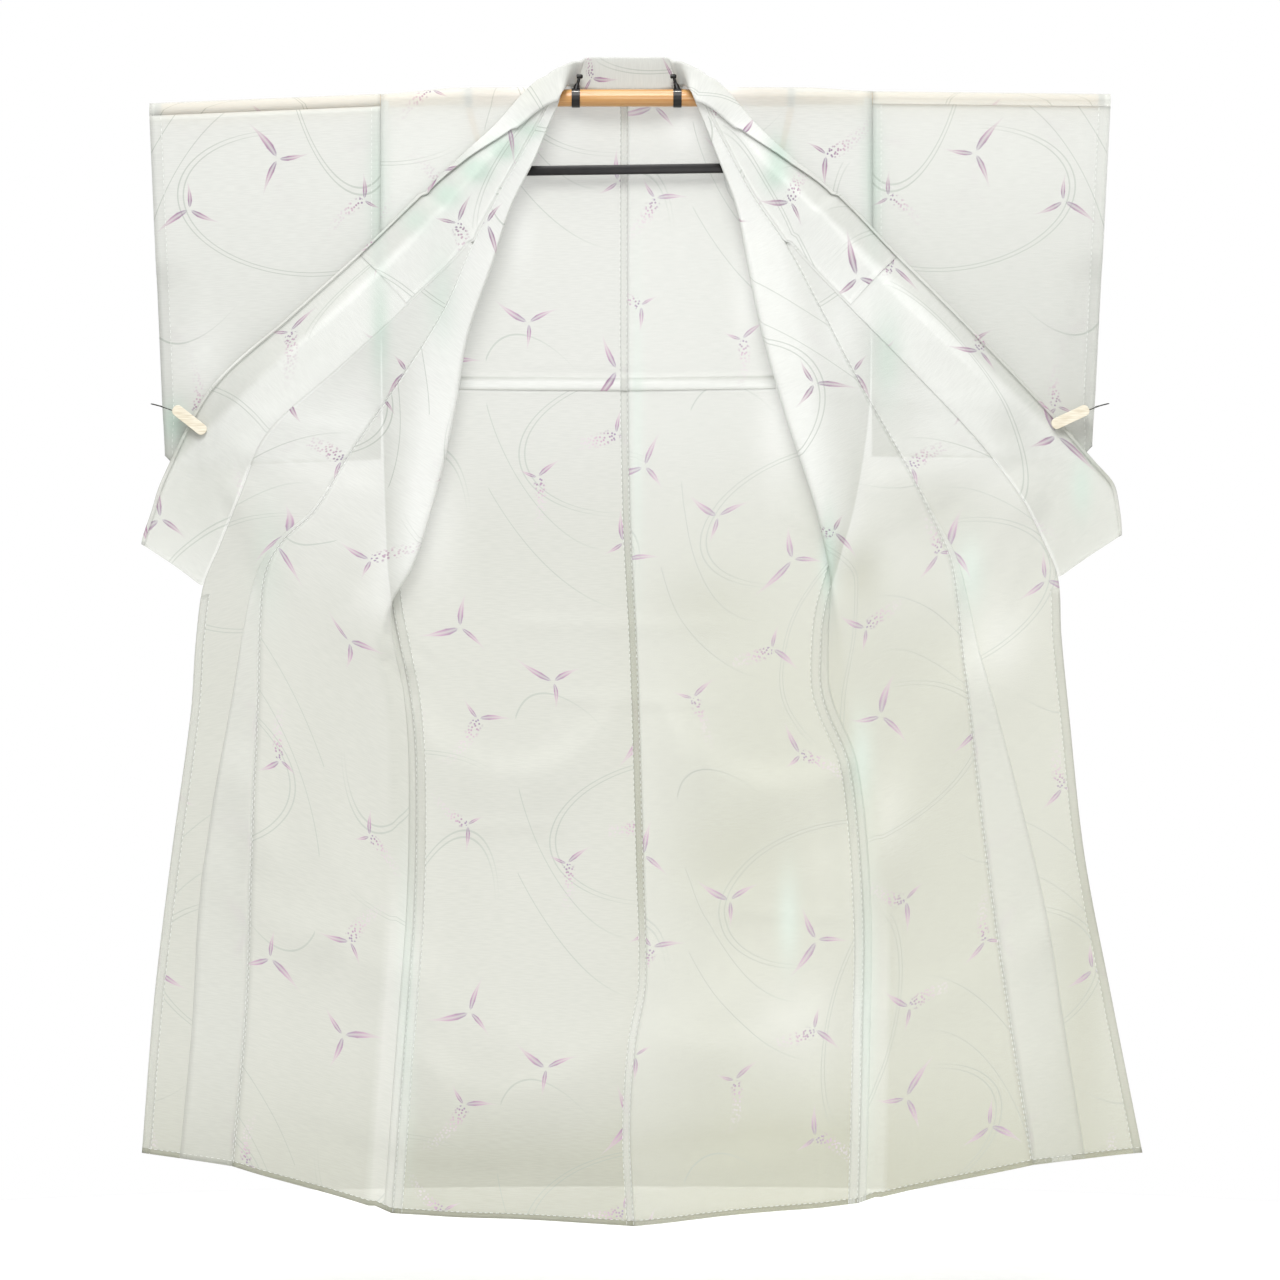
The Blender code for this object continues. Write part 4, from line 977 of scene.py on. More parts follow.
    # The thin stalks, each drawn on one side of its ellipse and fading out towards the other
    repeat = (CELL[0] * 3, CELL[1] * 4, 9)
    tile = wire(tree, "VectorMath WRAP", [flat, repeat, (0, 0, -9)])
    stalks = 0.0
    for across, down, half_width, half_length, turn, second in STALKS:
        lies = {"Vector": tile, "Location": (across, down, 0), "Rotation": (0, 0, math.radians(turn))}
        lies["Scale"] = (half_width, half_length, 1)
        place = wire(tree, "Mapping", lies, vector_type="TEXTURE")
        way = wire(tree, "VectorMath LENGTH", [place], output="Value")
        gap = second - 1
        way = wire(tree, "Math SUBTRACT", [way, 1 + gap / 2])
        way = wire(tree, "Math ABSOLUTE", [way])
        thin = 0.0006 / min(half_width, half_length)
        line = wire(tree, "Math COMPARE", [way, gap / 2, thin])
        toward = [place, (0.9, 0.6, 0)]
        side = wire(tree, "VectorMath DOT_PRODUCT", toward, output="Value")
        side = wire(tree, "MapRange", {"Value": side, "From Min": -0.5, "From Max": 0.4, "To Max": 0.42})
        stalks = wire(tree, "Math MULTIPLY_ADD", [line, side, stalks])
    ground, relief = woven_ground(tree, flat)
    for share, colour in ((stalks, "#8E9A8E"), (print_mask, leaf)):
        ground = wire(tree, "Mix", {0: share, 6: ground, 7: colour}, output=2, data_type="RGBA")
    made_sheer(tree, ground, relief)
    return made


def pressed_gauze():
    """The same gauze where it is turned under and pressed, in hems and seam allowances, a little smoother
    and without print."""
    values = {"Roughness": 0.74, "Sheen_Weight": 0.12, "Sheen_Roughness": 0.5}
    made, tree = begun("pressed_sheer_gauze", "printed_sheer_cloth", **values)
    made_sheer(tree, *woven_ground(tree, wire(tree, "TexCoord", output="UV")))
    return made


def gauze_back():
    """The second face of the gauze's wall. The real cloth is one layer of thread, which the first face
    already shows from both sides, so this one is almost clear and only dulls it a little."""
    made, tree = begun("sheer_gauze_reverse", "printed_sheer_cloth", Roughness=0.8, Base_Color="#F4F6F1")
    holes = wire(tree, "BsdfTransparent")
    threads = tree.nodes["Principled BSDF"].outputs[0]
    sheer = wire(tree, "MixShader", [0.10, holes, threads])
    tree.links.new(sheer, tree.nodes["Material Output"].inputs["Surface"])
    return made


# How white the back and the front are painted at each height, as painted light and shade: 1 is fully
# white, and 0 the darkest grey. The front is painted whiter than the single back where it lies doubled,
# and both greyer towards the hem.
TONES = table(
    "down back front",
    (0.00, 0.50, 0.76),
    (0.20, 0.48, 0.83),
    (0.45, 0.42, 0.71),
    (0.60, 0.32, 0.48),
    (0.72, 0.34, 0.36),
    (0.92, 0.34, 0.34),
    (1.10, 0.36, 0.32),
    (1.30, 0.34, 0.32),
    (1.40, 0.22, 0.24),
    (1.48, 0.00, 0.14),
    (1.60, 0.00, 0.10),
)

# How far down each front lies doubled at its fold, and where the print's repeat starts on each panel
FOLD_DOUBLED = {LEFT: 0.76, RIGHT: 0.68}
REPEAT_STARTS = {LEFT: (0.1445, 0.3065), RIGHT: (0.1265, 0.4145)}

# Where a pale mint tint is painted in as shade, under the collar, in folds and along seams where
# layers overlap: x, z, half width, half height, strength
PAINTED_MINT_SHADE = [
    (-0.139, -0.047, 0.018, 0.012, 0.8),
    (-0.174, -0.074, 0.020, 0.014, 1.3),
    (-0.212, -0.104, 0.020, 0.016, 1.3),
    (-0.252, -0.138, 0.020, 0.018, 1.0),
    (-0.296, -0.172, 0.020, 0.018, 0.6),
    (0.199, -0.115, 0.016, 0.016, 0.6),
    (0.205, -0.085, 0.016, 0.032, 0.8),
    (-0.632, -0.450, 0.016, 0.028, 0.9),
    (-0.350, -0.130, 0.013, 0.100, 0.5),
    (0.338, -0.110, 0.013, 0.090, 0.6),
    (-0.345, -0.320, 0.012, 0.070, 0.7),
    (0.355, -0.360, 0.020, 0.060, 0.6),
    (-0.500, -0.640, 0.022, 0.080, 0.25),
    (0.275, -0.640, 0.010, 0.060, 0.9),
    (0.470, -0.660, 0.020, 0.050, 0.6),
    (0.320, -0.920, 0.016, 0.060, 0.6),
    (0.220, -1.140, 0.014, 0.060, 0.6),
    (0.625, -0.540, 0.014, 0.040, 0.7),
    (-0.260, -0.280, 0.020, 0.060, 0.4),
    (0.010, -0.460, 0.008, 0.200, 0.4),
    (-0.310, -1.250, 0.012, 0.200, 0.3),
    (0.330, -1.250, 0.012, 0.200, 0.4),
]

# Patches of painted light and shade, where layers overlap and where folds lie in shade: x, z, half width,
# half height, and how much whiter or greyer they are painted
PAINTED_LIGHT_AND_SHADE = [
    (0.420, -0.560, 0.090, 0.060, -0.27),
    (0.600, -0.570, 0.080, 0.080, -0.12),
    (-0.590, -0.550, 0.100, 0.080, -0.22),
    (0.320, -0.650, 0.030, 0.050, -0.30),
    (-0.275, -0.590, 0.040, 0.090, 0.22),
    (0.208, -0.447, 0.030, 0.090, 0.26),
    (0.167, -0.270, 0.024, 0.070, 0.22),
    (-0.153, -0.170, 0.020, 0.060, 0.18),
    (-0.100, -0.044, 0.030, 0.040, 0.16),
    (0.083, -0.030, 0.030, 0.040, 0.30),
    (0.292, -0.322, 0.030, 0.060, 0.18),
    (0.375, -0.447, 0.030, 0.040, -0.16),
    (0.514, -0.753, 0.040, 0.060, 0.18),
    (-0.597, -0.364, 0.040, 0.060, 0.14),
    (0.230, -1.290, 0.080, 0.080, 0.20),
    (0.125, -1.058, 0.080, 0.070, -0.12),
    (0.097, -0.697, 0.080, 0.050, -0.12),
    (0.528, -0.461, 0.030, 0.030, -0.16),
    (-0.500, -0.640, 0.030, 0.050, -0.12),
    (0.625, -1.253, 0.035, 0.200, -0.14),
    (0.361, -1.000, 0.030, 0.060, 0.10),
]


def patched(value, patches, point, reach=math.inf):
    """A value with the change that each patch near this point makes to it."""
    for x, z, wide, high, change in patches:
        off = ((point.x - x) / wide) ** 2 + ((point.z - z) / high) ** 2
        if off < reach:
            value += change * math.exp(-off)
    return value


def painted_shading_and_tint(white, point):
    """The painted light, shade and tint of one point: how white it is painted, how much painted mint
    shade shows there, and how cream it is.
    """
    white = patched(white, PAINTED_LIGHT_AND_SHADE, point)
    mint = patched(0.0, PAINTED_MINT_SHADE, point, reach=8)
    cream = smooth((-point.z - 0.35) / 0.5) * mix(0.45, 1, smooth((point.x + 0.1) / 0.3))
    # Creamier at and just below the rod's height: painted warm light of the wood seen through the gauze
    on_rod = smooth((abs(point.x) - 0.1) / 0.05) * (1 - smooth((rod_height(point.x) - point.z) / 0.03))
    cream = max(cream, on_rod)
    return (min(max(white, 0), 1), min(mint, 0.85), cream, 1)


def body_painted_shading(along, point):
    """Painted light and shade of the body panels. The back is painted whiter in the tuck, lifting the
    shade of its pleat. The front is painted whiter near its fold, as far down as it lies doubled there,
    and below that along the fold a little greyer higher up and paler from about a metre down, evening
    out the shade of the roll. The right side is painted greyer, more so in the skirt, for the shade of
    its swags."""
    side = LEFT if point.x < 0 else RIGHT
    skirt = smooth((-point.z - 0.6) / 0.2)
    if along > 0:
        near_fold = abs(point.x) - read(RUNS[side], -point.z, "fold_out")
        at_fold = 1 - smooth((near_fold - 0.002) / 0.010)
        upper = smooth((FOLD_DOUBLED[side] + point.z) / 0.12)
        white = read(TONES, -point.z, "front") + 0.45 * upper * (1 - smooth(near_fold / 0.09))
        white += mix(-0.06, 0.16, smooth((-point.z - 0.95) / 0.3)) * at_fold * (1 - upper)
    else:
        in_tuck = smooth(1 - abs(-point.z - 0.397) / 0.012)
        white = read(TONES, -point.z, "back") + 0.62 * in_tuck
    return painted_shading_and_tint(white - mix(0.04, 0.12, skirt) * smooth((point.x + 0.1) / 0.3), point)


gauze, pressed, reverse = printed_gauze(), pressed_gauze(), gauze_back()
panel_grid, panels = {}, {}
for side, word in SIDES:
    panel_grid[side] = panel_rows(side)
    panel = draped(
        f"body_{word}_gauze",
        panel_grid[side],
        gauze,
        f"body_{word}",
        dye=body_painted_shading,
        turned_over=side == LEFT,
        origin=REPEAT_STARTS[side],
    )
    on_rod = ["rod_middle_wood", f"rod_arm_{word}_wood"]
    panels[f"body_{word}"] = (panel, {"flat": (0.375, 3.16), "area": 0.95, "rests_on": on_rod})

# The overlap panels. A strip of the same gauze, half a bolt wide, is sewn down the edge of each front
# from a point below the collar, and widens the skirt so that it can be wrapped across.
def overlap_section(side, down, steps=22):
    """Points across the overlap panel, from its seam to the collar or its free edge."""
    seam, edge = edge_run(side, down, "seam"), edge_run(side, down, "edge")
    return [hung(seam.lerp(edge, k / steps), down) for k in range(steps + 1)]


def overlap_rows(side):
    """The overlap panel from its upper point to the hem, with a row for each length of cloth."""
    return [(d, [creased(p) for p in overlap_section(side, d)]) for d in lengths(OVERLAP_START, LENGTH)]


SLEEVE_BOTTOM = 0.494


def over_sleeve(point):
    """How much a point lies on the lower part of a sleeve, where it is painted whiter, as painted light
    for the one more layer that lies there.
    """
    below = rod_height(point.x) - point.z - SLEEVE_BOTTOM
    return smooth((abs(point.x) - 0.33) / 0.04) * smooth((below + 0.16) / 0.12) * (1 - smooth(below / 0.006))


def overlap_painted_shading(along, point):
    """Painted a little greyer than the front that it is sewn to, and painted whiter where it lies over
    the sleeve, as painted light.
    """
    white = read(TONES, -point.z, "front") - 0.05
    return painted_shading_and_tint(white + 0.22 * over_sleeve(point), point)


overlap_grid = {}
for side, word in SIDES:
    overlap_grid[side] = overlap_rows(side)
    node = f"okumi_{word}"
    overlap = draped(node + "_gauze", overlap_grid[side], gauze, node, dye=overlap_painted_shading, origin=(0.19, 0.1))
    panels[node] = (overlap, {"flat": (0.187, 1.36), "area": 0.17, "rests_on": [f"body_{word}_gauze"]})

# The sleeves. Each is one length folded at the shoulder, so it hangs double; its wrist edges are sewn
# together below a 20 cm opening and its bottom corner is rounded off. The rod's arm runs through it.
SLEEVE_OUT = {LEFT: (0.667, 0.646), RIGHT: (0.667, 0.642)}
WRIST_OPENING = 0.205
BOTTOM_DEPTH, SEWN_DEPTH = 0.0075, 0.0009
CORNER_CUT, CORNER_SHARE = 0.018, 0.055
SLEEVE_COLUMNS = 40


def sleeve_point(side, share, down, place, turn=0.0):
    """A point of the sleeve: share is the way out from the armhole and down the way below the fold."""
    inner = read(RUNS[side], 0, "side_out") + SEAM_GAP
    outer_top, outer_end = SLEEVE_OUT[side]
    x = side * mix(inner, mix(outer_top, outer_end, down / SLEEVE_BOTTOM), share)
    depth = mix(ARM_WRAP, BOTTOM_DEPTH, down / SLEEVE_BOTTOM)
    closing = smooth((share - 0.80) / 0.20)
    depth = mix(depth, SEWN_DEPTH, closing * smooth((down - WRIST_OPENING) / 0.05))
    round_off = CORNER_CUT * max(share - 0.945, 0) / CORNER_SHARE * smooth((down - 0.40) / 0.08)
    z = rod_height(x) - down + round_off
    if place == "over":
        return Vector((x, ARM_WRAP * math.cos(turn), z + ARM_WRAP * math.sin(turn)))
    if place == "below":
        return Vector((x, 0, z - 0.003))
    return Vector((x, -depth if place == "front" else depth, z))


def sleeve_rows(side):
    """The whole sleeve: down its front, round its lower edge, up behind and over the rod."""
    loop = [("front", d, 0.0) for d in lengths(0.0, SLEEVE_BOTTOM)[1:]]
    loop += [("below", SLEEVE_BOTTOM, 0.0)]
    loop += [("behind", d, 0.0) for d in reversed(lengths(0.0, SLEEVE_BOTTOM)[1:])]
    loop += [("over", 0.0, math.pi * k / WRAP_STEPS) for k in range(WRAP_STEPS + 1)]
    loop.append(loop[0])
    rows = []
    for k, (place, down, turn) in enumerate(loop):
        shares = [j / SLEEVE_COLUMNS for j in range(SLEEVE_COLUMNS + 1)]
        rows.append((k * ROW_STEP, [creased(sleeve_point(side, s, down, place, turn)) for s in shares]))
    return rows


def sleeve_painted_shading(along, point):
    """Painted light and shade of the sleeves: two layers hang here, the lower end is painted a little
    greyer, most on the right, and behind the folded fronts it is painted lighter, lifting the shade they cast.
    """
    white = mix(0.70, 0.60, smooth(-point.z / 0.45))
    if point.x > 0:
        white -= 0.08 * smooth(-point.z / 0.3)
    else:
        white += 0.04 * (1 - smooth(-point.z / 0.05))
    behind_front = smooth((-point.z - 0.36) / 0.08) * smooth((0.58 - abs(point.x)) / 0.05)
    return painted_shading_and_tint(white + 0.25 * behind_front, point)


sleeve_grid = {}
for side, word in SIDES:
    sleeve_grid[side] = sleeve_rows(side)
    node = f"sleeve_{word}"
    sleeve = draped(node + "_gauze", sleeve_grid[side], gauze, node, dye=sleeve_painted_shading, origin=(0.05, 0.2))
    panels[node] = (sleeve, {"flat": (0.375, 1.04), "area": 0.34, "rests_on": [f"rod_arm_{word}_wood"]})

# The collar. One long strip, pressed in half along its middle, is sewn round the neck and down both
# edges; on its way down it opens, and its turned edge is drawn out to the peg. A shorter over-collar
# covers its outer face, and a plain white lining its inner face.
OVERLAY_LIFT = 0.0010
OVER_COLLAR_END = 0.34
LINING_START = 0.08
PEG_PULL = {LEFT: 0.003, RIGHT: 0.017}
PEG_ALONG = 0.838
PEG_SPREAD = 0.055
FINER = 4

# `along` is the way from the centre back, `lean` the direction of the strip in degrees above outward,
# then the distances from the seam to the pressed crease and to the turned edge, the width of the flap
# that comes back over it, the radius of that turn, how far crease and edge stand in front of the seam,
# how many degrees the flap looks inward, and how far its edge stands off the strip.
SECTIONS = table(
    "along lean crease edge flap turn crease_front edge_front inward off",
    (0.000, 90, 0.052, 0.059, 0.0460, 0.0022, -0.001, 0.000, 0, 0.000),
    (0.050, 89, 0.052, 0.059, 0.0460, 0.0022, -0.001, 0.000, 0, 0.000),
    (0.080, 99, 0.051, 0.058, 0.0420, 0.0022, 0.000, 0.000, 12, 0.000),
    (0.094, 107, 0.050, 0.058, 0.0390, 0.0022, 0.001, 0.001, 30, 0.000),
    (0.101, 109, 0.041, 0.049, 0.0370, 0.0024, 0.002, 0.002, 48, 0.001),
    (0.108, 111, 0.030, 0.038, 0.0350, 0.0026, 0.001, 0.002, 62, 0.004),
    (0.115, 113, 0.022, 0.031, 0.0340, 0.0028, 0.000, 0.000, 70, 0.008),
    (0.123, 105, 0.018, 0.027, 0.0360, 0.0028, -0.003, -0.005, 66, 0.012),
    (0.130, 86, 0.018, 0.028, 0.0370, 0.0028, -0.004, -0.007, 52, 0.0085),
    (0.137, 65, 0.020, 0.031, 0.0370, 0.0028, -0.003, -0.006, 36, 0.004),
    (0.167, 50, 0.025, 0.041, 0.0310, 0.0028, 0.001, -0.006, 14, 0.002),
    (0.217, 45, 0.028, 0.051, 0.0220, 0.0028, 0.006, -0.008, 4, 0.000),
    (0.287, 45, 0.043, 0.073, 0.0090, 0.0028, 0.012, -0.013, 0, 0.000),
    (0.367, 45, 0.060, 0.096, 0.0040, 0.0024, 0.013, -0.018, 0, 0.000),
    (0.467, 45, 0.057, 0.098, 0.0030, 0.0022, 0.009, -0.024, 0, 0.000),
    (0.587, 45, 0.059, 0.099, 0.0030, 0.0022, 0.006, -0.027, 0, 0.000),
    (0.687, 43, 0.062, 0.100, 0.0030, 0.0022, 0.001, -0.028, 0, 0.000),
    (0.747, 36, 0.060, 0.104, 0.0030, 0.0022, -0.008, -0.027, 0, 0.000),
    (0.797, 22, 0.055, 0.107, 0.0030, 0.0022, -0.012, -0.022, 0, 0.000),
    (0.857, 29, 0.052, 0.104, 0.0030, 0.0022, -0.006, -0.012, 0, 0.000),
    (0.907, 33, 0.051, 0.102, 0.0030, 0.0022, -0.002, -0.005, 0, 0.000),
)


def neck_line(side):
    """The edge that the collar is sewn to: the way from the centre back, the point, and the direction
    in which the cloth ends there."""
    line = []
    back = back_section(side, 0)
    for k in range(len(back) - 1, FRONT_STEPS, -1):
        line.append((NECK_ALONG * (len(back) - 1 - k) / NECK_STEPS, back[k], Vector((0, 0, 1))))
    for k in range(WRAP_STEPS + 1):
        turn = k / WRAP_STEPS
        points = shoulder_section(side, turn)
        ends = Vector((0, 0, 1)).lerp((points[-1] - points[-2]).normalized(), min(turn * 2, 1))
        line.append((mix(NECK_ALONG, SHOULDER_ALONG, turn), points[-1], ends.normalized()))
    for down in lengths(0.0, 0.77)[1:]:
        points = front_section(side, down) if down < OVERLAP_START else overlap_section(side, down, 3)
        line.append((SHOULDER_ALONG + down, points[-1], (points[-1] - points[-2]).normalized()))
    return line


def beside(way, toward):
    """The direction at a right angle to a way, on the side that looks toward."""
    return (toward - way * toward.dot(way)).normalized()


def collar_section(side, along, seam, ends):
    """Points across the collar: seam half, crease, far half, its turned edge and the flap."""
    lean = math.radians(read(SECTIONS, along, "lean"))
    direction = Vector((side * math.cos(lean), 0, math.sin(lean)))
    forward = Vector((0, -1, 0))
    crease = seam + direction * read(SECTIONS, along, "crease")
    crease += forward * read(SECTIONS, along, "crease_front")
    pull = PEG_PULL[side] * math.exp(-(((along - PEG_ALONG) / PEG_SPREAD) ** 2))
    edge = seam + direction * (read(SECTIONS, along, "edge") + pull)
    edge += forward * read(SECTIONS, along, "edge_front")
    radius = read(SECTIONS, along, "turn")
    start, second = seam + ends * SEAM_GAP, seam + ends * 0.004
    crease_round = min(0.006, (edge - crease).length * 0.3)
    before = crease + (second - crease).normalized() * crease_round
    after = crease + (edge - crease).normalized() * crease_round
    heading = (edge - crease).normalized()
    inward = math.radians(read(SECTIONS, along, "inward"))
    toward = Vector((-side * math.sin(inward), -math.cos(inward), 0))
    inside = beside(heading, toward)
    top = edge - heading * radius
    points = [start, second, second.lerp(before, 0.5), before, (before + after + crease * 2) / 4]
    points += [after, after.lerp(top, 0.5), top]
    points += [rolled(top, heading, inside, radius, math.pi, k / 3) for k in (1, 2, 3)]
    flap = read(SECTIONS, along, "flap")
    room = (top - crease).length
    down_heading = (second - crease).normalized()
    below = beside(down_heading, toward)
    for share in (0.5, 1.0):
        way = flap * share
        if way <= room:
            place = top - heading * way + inside * radius * 2
        else:
            place = crease + down_heading * (way - room) + below * radius * 2
        points.append(place + toward * read(SECTIONS, along, "off") * share)
    return points


def finer(points):
    """The same line of points with more of them, on a smooth curve through all."""
    line = []
    for k in range(len(points) - 1):
        a, b = points[max(k - 1, 0)], points[k]
        c, d = points[k + 1], points[min(k + 2, len(points) - 1)]
        reach = (c - b).length
        leave, arrive = (c - a).normalized() * reach, (d - b).normalized() * reach
        line += [curve(b, c, leave, arrive, step / FINER) for step in range(FINER)]
    return [*line, points[-1]]


def collar_rows():
    """The whole collar as rows of points, from the left end over the centre back to the right end."""
    sides = {}
    for side in (LEFT, RIGHT):
        line = neck_line(side)
        sides[side] = [(along, finer(collar_section(side, along, seam, ends))) for along, seam, ends in line]
    centre = [(a + b) / 2 for a, b in zip(sides[LEFT][0][1], sides[RIGHT][0][1], strict=True)]
    rows = [(-along, points) for along, points in reversed(sides[LEFT][1:])]
    return [*rows, (0.0, centre), *sides[RIGHT][1:]]


def facing(rows, i, j):
    """The direction in which one face of the grid looks."""
    i, j = min(max(i, 0), len(rows) - 2), min(max(j, 0), len(rows[0]) - 2)
    one = rows[i + 1][j + 1] - rows[i][j]
    other = rows[i + 1][j] - rows[i][j + 1]
    return one.cross(other).normalized()


def moved_out(rows, distance):
    """The same rows moved off their surface by a distance, a little further at the bends."""
    moved = []
    for i, row in enumerate(rows):
        line = []
        for j, point in enumerate(row):
            faces = [facing(rows, i - a, j - b) for a in (0, 1) for b in (0, 1)]
            normal = sum(faces, Vector()).normalized()
            bend = max(min(normal.dot(face) for face in faces), 0.6)
            line.append(point + normal * distance / bend)
        moved.append(line)
    return moved


def collar_painted_shading(along, point):
    """Painted light and shade of the collar: greyer in the strip beside its outer edge, where it lies single
    and turned from the light, then white where it lies doubled; greyer at the back of the neck and
    towards both ends, and lighter where it lies over the sleeve.
    """
    side = LEFT if point.x < 0 else RIGHT
    inward = (0.146 - point.x * side) * 0.685 - (point.z + 0.004) * 0.729
    single = smooth((inward + 0.01) / 0.006) * (1 - smooth((inward - 0.026) / 0.014))
    single *= smooth((abs(along) - 0.22) / 0.1)
    low = 0.66 if along > 0 else 0.72
    white = mix(0.62, 0.95, smooth((abs(along) - 0.1) / 0.15))
    white = mix(white, low, smooth((abs(along) - 0.5) / 0.3))
    return painted_shading_and_tint(white - 0.34 * single + 0.1 * over_sleeve(point), point)


collar_grid = [(along, [creased(p) for p in points]) for along, points in collar_rows()]
collar = draped("collar_gauze", collar_grid, gauze, "collar", dye=collar_painted_shading, origin=(0.10, 0.05))
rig.sheet(collar, flat=(0.13, 1.88), held="folded", rests_on=["body_left_gauze", "body_right_gauze"])

kept = [k for k, (along, _) in enumerate(collar_grid) if abs(along) <= SHOULDER_ALONG + OVER_COLLAR_END]
outer = moved_out([points for _, points in collar_grid], -OVERLAY_LIFT)
over_collar = draped(
    "over_collar_gauze",
    [(collar_grid[k][0], outer[k][FINER:]) for k in kept],
    gauze,
    "over_collar",
    dye=collar_painted_shading,
    origin=(0.16, 0.35),
)
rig.sheet(over_collar, flat=(0.13, 0.96), held="folded", rests_on=["collar_gauze"])


def plain_lining():
    """Plain white lining, a closer weave without print, a little smoother than the gauze."""
    made, tree = begun("plain_white_lining", "plain_collar_lining", Roughness=0.7, Sheen_Weight=0.1)
    flat = wire(tree, "TexCoord", output="UV")
    slubs = wire(tree, "Mapping", {"Vector": flat, "Scale": (700, 60, 1)})
    slubs = wire(tree, "TexNoise", {"Vector": slubs, "Scale": 1.0, "Detail": 1.0}, noise_dimensions="2D")
    colour = wire(tree, "ValToRGB", {"Fac": slubs}, stops=[(0.35, "#EEEFEC"), (0.65, "#FBFCFA")])
    made_sheer(tree, colour, lit_through=0.25, covered=0.70)
    return made


lining = plain_lining()
inner_face = moved_out([points for _, points in collar_grid], OVERLAY_LIFT)
for side, word in SIDES:
    kept = [k for k, (along, _) in enumerate(collar_grid) if along * side >= SHOULDER_ALONG + LINING_START]
    rows = [(collar_grid[k][0], inner_face[k][FINER : FINER * 7 + 1]) for k in kept]
    piece = draped(f"collar_lining_{word}_cloth", rows, lining, f"collar_lining_{word}")
    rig.sheet(piece, flat=(0.11, 0.78), held="laid", rests_on=["collar_gauze"])

# Seam allowances, hems and stitches. Each seam's raw edges are pressed to one side and each hem is
# turned up once, so that two or three layers lie there and show through the gauze as whiter bands;
# white silk running stitches 4 mm long hold them. Allowances and hems take the panels' painted light
# and shade, and the allowances are painted lighter still.
FORWARD = Vector((0, -1, 0))
PRESSED = 0.0006
HEM = 0.0125
SIDE_BACK, SIDE_FRONT, CENTRE_WIDE = 0.014, 0.012, 0.0105
ARMHOLE_WIDE, WRIST_WIDE = 0.012, 0.016
STITCH = (0.0042, 0.0004, 0.0003)
STITCH_EVERY = 0.0080
STITCH_LIFT = 0.0010
STITCH_START = SHORTEST_STITCH = 0.002
BESIDE_SEAM, BESIDE_CENTRE = 0.0012, 0.0010


def sample(points, way):
    """The point that lies this far along a line of points."""
    for a, b in zip(points, points[1:]):
        step = (b - a).length
        if way <= step:
            return a.lerp(b, way / step)
        way -= step
    return points[-1]


def cloth(points, far=False):
    """A row's points without the gap at the neck, from its first edge or from the far one."""
    line = [p for p in points if p is not None]
    return line[::-1] if far else line


def raised(points, forward):
    """The points of a row moved a little towards the viewer."""
    return [p + FORWARD * forward for p in cloth(points)]


def at(measure, place):
    """A measure that is either the same everywhere or a function of the place."""
    return measure(place) if callable(measure) else measure


def band(name, rows, width, forward, whiter, far=False, columns=3):
    """A strip of turned cloth along the first or the far edge of a panel's rows."""
    strip = []
    for along, points in rows:
        line = cloth(points, far)
        places = [sample(line, mix(0.0, at(width, along), k / columns)) for k in range(columns + 1)]
        strip.append((along, raised(places, at(forward, along))))

    # The front's painted light and shade at this height, painted lighter by whiter
    def band_painted_shading(along, point):
        return painted_shading_and_tint(read(TONES, -point.z, "front") + at(whiter, -point.z), point)

    return draped(name, strip, pressed, dye=band_painted_shading, origin=(0.11, 0.31))


def hem_painted_shading(along, point):
    """Hems are painted with the back's painted light and shade at their height."""
    return painted_shading_and_tint(read(TONES, -point.z, "back"), point)


def hem(name, rows):
    """The turned-up lower edge of a panel, as wide as the panel."""
    return draped(name, [(along, raised(points, PRESSED)) for along, points in rows], pressed, dye=hem_painted_shading)


def down_rows(rows, way, far=False):
    """A line down the rows, this far in from their first or far edge, just in front of the cloth."""
    return [sample(cloth(points, far), way) + FORWARD * STITCH_LIFT for _, points in rows]


def stitched(name, lines):
    """Running stitches along lines of points, each a small rounded bar, joined in one piece."""
    shape = bmesh.new()
    for line in lines:
        total = sum((b - a).length for a, b in zip(line, line[1:]))
        for k in range(int(total / STITCH_EVERY)):
            start = sample(line, k * STITCH_EVERY + STITCH_START)
            end = sample(line, k * STITCH_EVERY + STITCH_START + STITCH[0])
            if (end - start).length < SHORTEST_STITCH:
                continue
            bar = bmesh.ops.create_cube(shape, size=1)["verts"]
            turn = (end - start).to_track_quat("X", "Y").to_matrix().to_4x4()
            bmesh.ops.scale(shape, vec=STITCH, verts=bar)
            bmesh.ops.transform(shape, matrix=Matrix.Translation((start + end) / 2) @ turn, verts=bar)
    return finished(name, shape, silk)


def white_silk():
    """Silk sewing thread, twisted and dyed white, brighter than the gauze and slightly glossy."""
    made, tree = begun("white_silk_thread", "plain_collar_lining", Roughness=0.45, Sheen_Weight=0.2)
    place = wire(tree, "TexCoord", output="Object")
    twist = wire(tree, "TexNoise", {"Vector": place, "Scale": 900.0, "Detail": 1.0})
    wire(tree, "ValToRGB", {"Fac": twist}, to="Base Color", stops=[(0.4, "#DDE2DC"), (0.7, "#FFFFFF")])
    return made


def turning(along):
    """The inside of the front faces back down to the hip, and forward below it."""
    return mix(-PRESSED, PRESSED, smooth((along - 0.66) / 0.06))


def whiter_below(down):
    """Side allowances are painted whiter where the skirt hangs in one layer, below the knee."""
    return mix(0.14, 0.46, smooth((down - 1.0) / 0.3))


def centre_shade(down):
    """The centre back allowance is painted a shade greyer than the back at the top, and whiter at the hem."""
    return mix(-0.20, 0.34, smooth((down - 1.05) / 0.25))


def overlap_width(along):
    """The overlap panel's allowance takes up what the panel tapers, so it widens towards the hem."""
    return mix(0.003, 0.074, smooth((along - 0.60) / 0.70))


